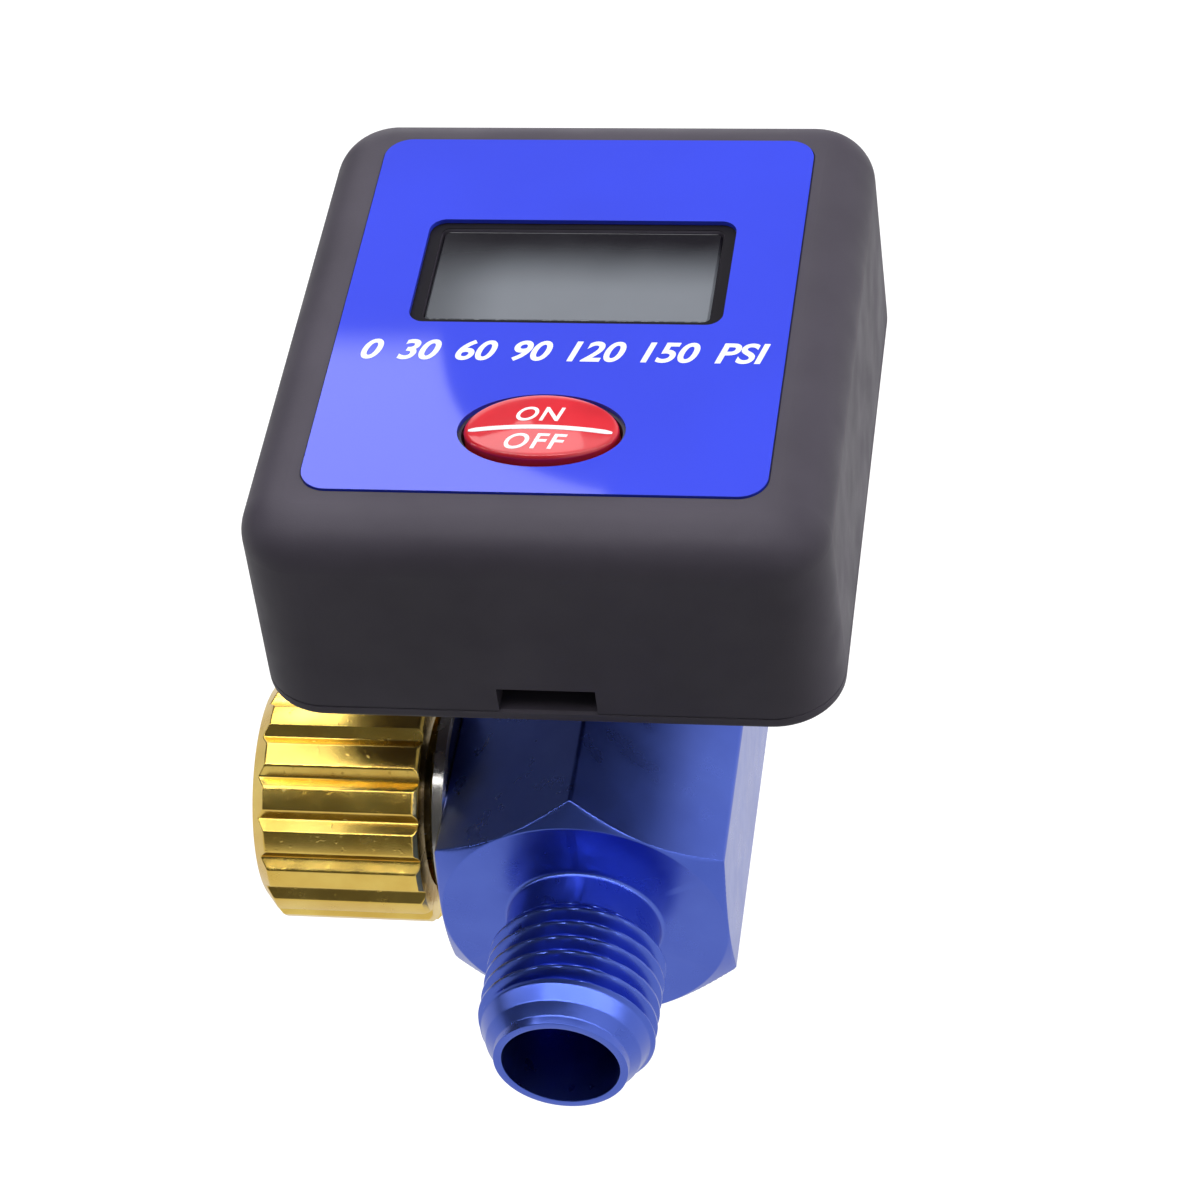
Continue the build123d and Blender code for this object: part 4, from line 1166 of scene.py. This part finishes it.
class REGULATOR_OT_studio(bpy.types.Operator):
    """Set up the floor, the soft lights and the camera"""

    bl_idname = "regulator.studio"
    bl_label = "Studio"

    def add_camera(self, context, studio):
        azimuth = math.radians(studio.camera_azimuth)
        elevation = math.radians(studio.camera_elevation)
        roll = math.radians(studio.camera_roll)
        flat = math.cos(elevation)
        back = Vector((flat * math.sin(azimuth), -flat * math.cos(azimuth), math.sin(elevation)))
        side = Vector((math.cos(azimuth), math.sin(azimuth), 0))
        up = back.cross(side)
        right = math.cos(roll) * side + math.sin(roll) * up
        top = -math.sin(roll) * side + math.cos(roll) * up
        data = bpy.data.cameras.new("view_camera")
        data.sensor_width = 36
        data.lens = studio.lens
        data.clip_start = 0.01
        data.clip_end = 50
        camera = bpy.data.objects.new("view_camera", data)
        turn = Matrix((right, top, back)).transposed().to_4x4()
        camera.matrix_world = Matrix.Translation(Vector(studio.camera_place)) @ turn
        context.scene.collection.objects.link(camera)
        context.scene.camera = camera

    def add_stage_piece(self, name, points, faces, glows=()):
        """A stage mesh with a bare material of the same name. It gives them and their tree."""
        mesh = bpy.data.meshes.new(name)
        mesh.from_pydata(points, [], faces)
        if glows:
            mesh.attributes.new("glow_share", "FLOAT", "POINT").data.foreach_set("value", glows)
        material = bpy.data.materials.new(name + "_tone")
        mesh.materials.append(material)
        return add_object(name, mesh), *stage_tree(material, "ShaderNodeOutputMaterial")

    def add_floor(self, studio, grey):
        half = 4.0
        z = BODY_LOW.z - studio.floor_drop
        corners = [(-half, -half, z), (half, -half, z), (half, half, z), (-half, half, z)]
        floor, tree, surface = self.add_stage_piece("studio_floor", corners, [(0, 1, 2, 3)])
        seen, gloss = seen_rays(tree)
        matte = add_node(tree, "ShaderNodeBsdfDiffuse", 0, {"Color": (*grey, 1)})
        lift = lit(tree, gloss * studio.floor_gloss + seen * studio.floor_seen)
        feed(tree, surface, add_node(tree, "ShaderNodeAddShader", 0, {0: matte, 1: lift}))

    def add_world(self, context, studio):
        world = bpy.data.worlds.new("white_studio")
        tree, surface = stage_tree(world, "ShaderNodeOutputWorld")
        seen, gloss = seen_rays(tree)
        shown = seen * (1.0 - studio.fill) + gloss * (studio.sky_gloss - studio.fill)
        inputs = {"Color": (1, 1, 1, 1), "Strength": shown + studio.fill}
        feed(tree, surface, add_node(tree, "ShaderNodeBackground", 0, inputs))
        context.scene.world = world

    def add_softbox(self, context, name, place, size, power):
        data = bpy.data.lights.new(name, "AREA")
        data.shape = "RECTANGLE"
        data.size, data.size_y = size
        data.energy = power
        lamp = bpy.data.objects.new(name, data)
        place = Vector(place)
        middle = (Vector(CAD_BOX[0]) + Vector(CAD_BOX[1])) / 2
        turn = (middle - place).to_track_quat("-Z", "Y").to_matrix().to_4x4()
        lamp.matrix_world = Matrix.Translation(place) @ turn
        lamp.visible_camera = False
        lamp.visible_glossy = False
        context.scene.collection.objects.link(lamp)

    def show_in_gloss_only(self, piece):
        for kind in ("camera", "diffuse", "shadow", "transmission"):
            setattr(piece, "visible_" + kind, False)

    def add_dark_wall(self, studio):
        """A grey band around the set, with the lights that gloss shows painted on it."""
        radius, rows, columns = 1.3, 24, 72
        low, high = math.radians(-4.5), math.radians(70)
        points = []
        for height in (low + (high - low) * row / rows for row in range(rows + 1)):
            flat = radius * math.cos(height)
            for around in (FULL_TURN * column / columns for column in range(columns)):
                points.append(
                    (flat * math.cos(around), flat * math.sin(around), radius * math.sin(height))
                )
        faces = []
        for first in range(rows * columns):
            after = first + 1 if (first + 1) % columns else first + 1 - columns
            faces.append((first, first + columns, after + columns, after))
        wall, tree, surface = self.add_stage_piece("dark_wall", points, faces)
        place = add_node(tree, "ShaderNodeTexCoord", "Object", {})
        x, y, z = (value / radius for value in split(place))
        # The ceiling's light starts lower at the back and is stronger on the left
        height = z + y.eased(-0.3, 0.3, 0.0, 0.1)
        ceiling = x.eased(-0.5, -0.1, 1.6, 1.0) * height.eased(0.84, 0.9, 0.0, studio.sky_gloss)
        right = x.eased(0.0, 0.5, 0.0, 0.8)
        # A bright doorway stands low at the back
        aside = (x + 0.26).by("ABSOLUTE").eased(0.2, 0.34, 1.0, 0.0)
        behind = aside * y.eased(0.3, 0.6, 0.0, 1.0)
        doorway = behind * z.eased(0.46, 0.56, studio.sky_gloss, 0.0)
        # A thin tube of light hangs above the front
        lean = (z.by("ARCTAN2", y) - math.radians(115)).by("ABSOLUTE")
        tube = lean.eased(math.radians(1.0), math.radians(2.0), studio.tube_glow, 0.0)
        brightest = ceiling.by("MAXIMUM", right).by("MAXIMUM", doorway.by("MAXIMUM", tube))
        feed(tree, surface, lit(tree, brightest + studio.wall_tone))
        self.show_in_gloss_only(wall)

    def add_bright_pane(self, studio):
        """A bright studio window whose mirror image lies on the label's lower left."""
        mirrored = Vector(studio.camera_place)
        mirrored.z = 2 * LABEL_HIGH.z - mirrored.z
        distance, steps = 0.6, 24
        # Outline of the image on the label, which fades over its upper 3 mm
        start, corner, end = [
            (x * MM, y * MM) for x, y in ((-9.4, -20.2), (-8.2, -33.6), (4.7, -36.7))
        ]
        left, far_left, soft, fading = -20 * MM, -100 * MM, 0.5 * MM, 3 * MM
        edge = [quadratic(start, corner, end, step / steps) for step in range(steps + 1)]
        edge += [(end[0] + soft, -40 * MM), (30 * MM, -47 * MM), (45 * MM, -100 * MM)]
        points, glows = [], []
        for x, y in edge:
            fade = min(1.0, (start[1] - y) / fading)
            reach = left if y > end[1] else far_left
            for place_x, share in ((reach, 1.0), (x - soft, 1.0), (x, 0.0)):
                on_label = Vector((place_x, y, LABEL_HIGH.z))
                points.append(on_label + (on_label - mirrored).normalized() * distance)
                glows.append(share * fade)
        firsts = [3 * row + column for row in range(len(edge) - 1) for column in range(2)]
        faces = [(first, first + 1, first + 4, first + 3) for first in firsts]
        pane, tree, surface = self.add_stage_piece("bright_pane", points, faces, glows)
        inputs = {
            "Fac": add_node(tree, "ShaderNodeAttribute", "Fac", {}, attribute_name="glow_share"),
            1: add_node(tree, "ShaderNodeBsdfTransparent", 0, {}),
            2: lit(tree, studio.pane_glow),
        }
        feed(tree, surface, add_node(tree, "ShaderNodeMixShader", 0, inputs))
        self.show_in_gloss_only(pane)

    def execute(self, context):
        studio = context.scene.regulator_studio
        self.add_camera(context, studio)
        self.add_floor(studio, context.scene.regulator_colours.floor_grey)
        self.add_world(context, studio)
        for name, place, size, power in (
            ("overhead_softbox", (-0.05, 0.15, 0.9), (1.2, 1.2), studio.overhead_power),
            ("side_softbox", (0.9, 0.35, 0.35), (0.5, 0.7), studio.side_power),
        ):
            self.add_softbox(context, name, place, size, power)
        self.add_dark_wall(studio)
        self.add_bright_pane(studio)
        context.scene.view_settings.view_transform = "Standard"
        return {"FINISHED"}


class REGULATOR_PT_panel(bpy.types.Panel):
    """Lists the steps that dress the regulator"""

    bl_idname = "REGULATOR_PT_panel"
    bl_label = "Air regulator"
    bl_space_type = "VIEW_3D"
    bl_region_type = "UI"
    bl_category = "Regulator"

    def draw(self, context):
        for step in STEPS:
            self.layout.operator(step.bl_idname)
        for name in GROUPS:
            group = getattr(context.scene, name)
            box = self.layout.box()
            for value in group.__annotations__:
                box.prop(group, value)


GROUPS = {
    "regulator_sizes": RegulatorSizes,
    "regulator_colours": RegulatorColours,
    "regulator_studio": StudioSettings,
}
STEPS = (
    REGULATOR_OT_finishes,
    REGULATOR_OT_body,
    REGULATOR_OT_knob,
    REGULATOR_OT_display,
    REGULATOR_OT_label,
    REGULATOR_OT_button,
    REGULATOR_OT_studio,
)
CLASSES = (*GROUPS.values(), *STEPS, REGULATOR_PT_panel)


def register():
    for each in CLASSES:
        bpy.utils.register_class(each)
    for name, group in GROUPS.items():
        setattr(bpy.types.Scene, name, bpy.props.PointerProperty(type=group))


def unregister():
    for name in GROUPS:
        delattr(bpy.types.Scene, name)
    for each in reversed(CLASSES):
        bpy.utils.unregister_class(each)


def main():
    register()
    bpy.ops.regulator.finishes()
    bpy.ops.regulator.body()
    bpy.ops.regulator.knob()
    bpy.ops.regulator.display()
    bpy.ops.regulator.label()
    bpy.ops.regulator.button()
    bpy.ops.regulator.studio()


if __name__ == "__main__":
    main()
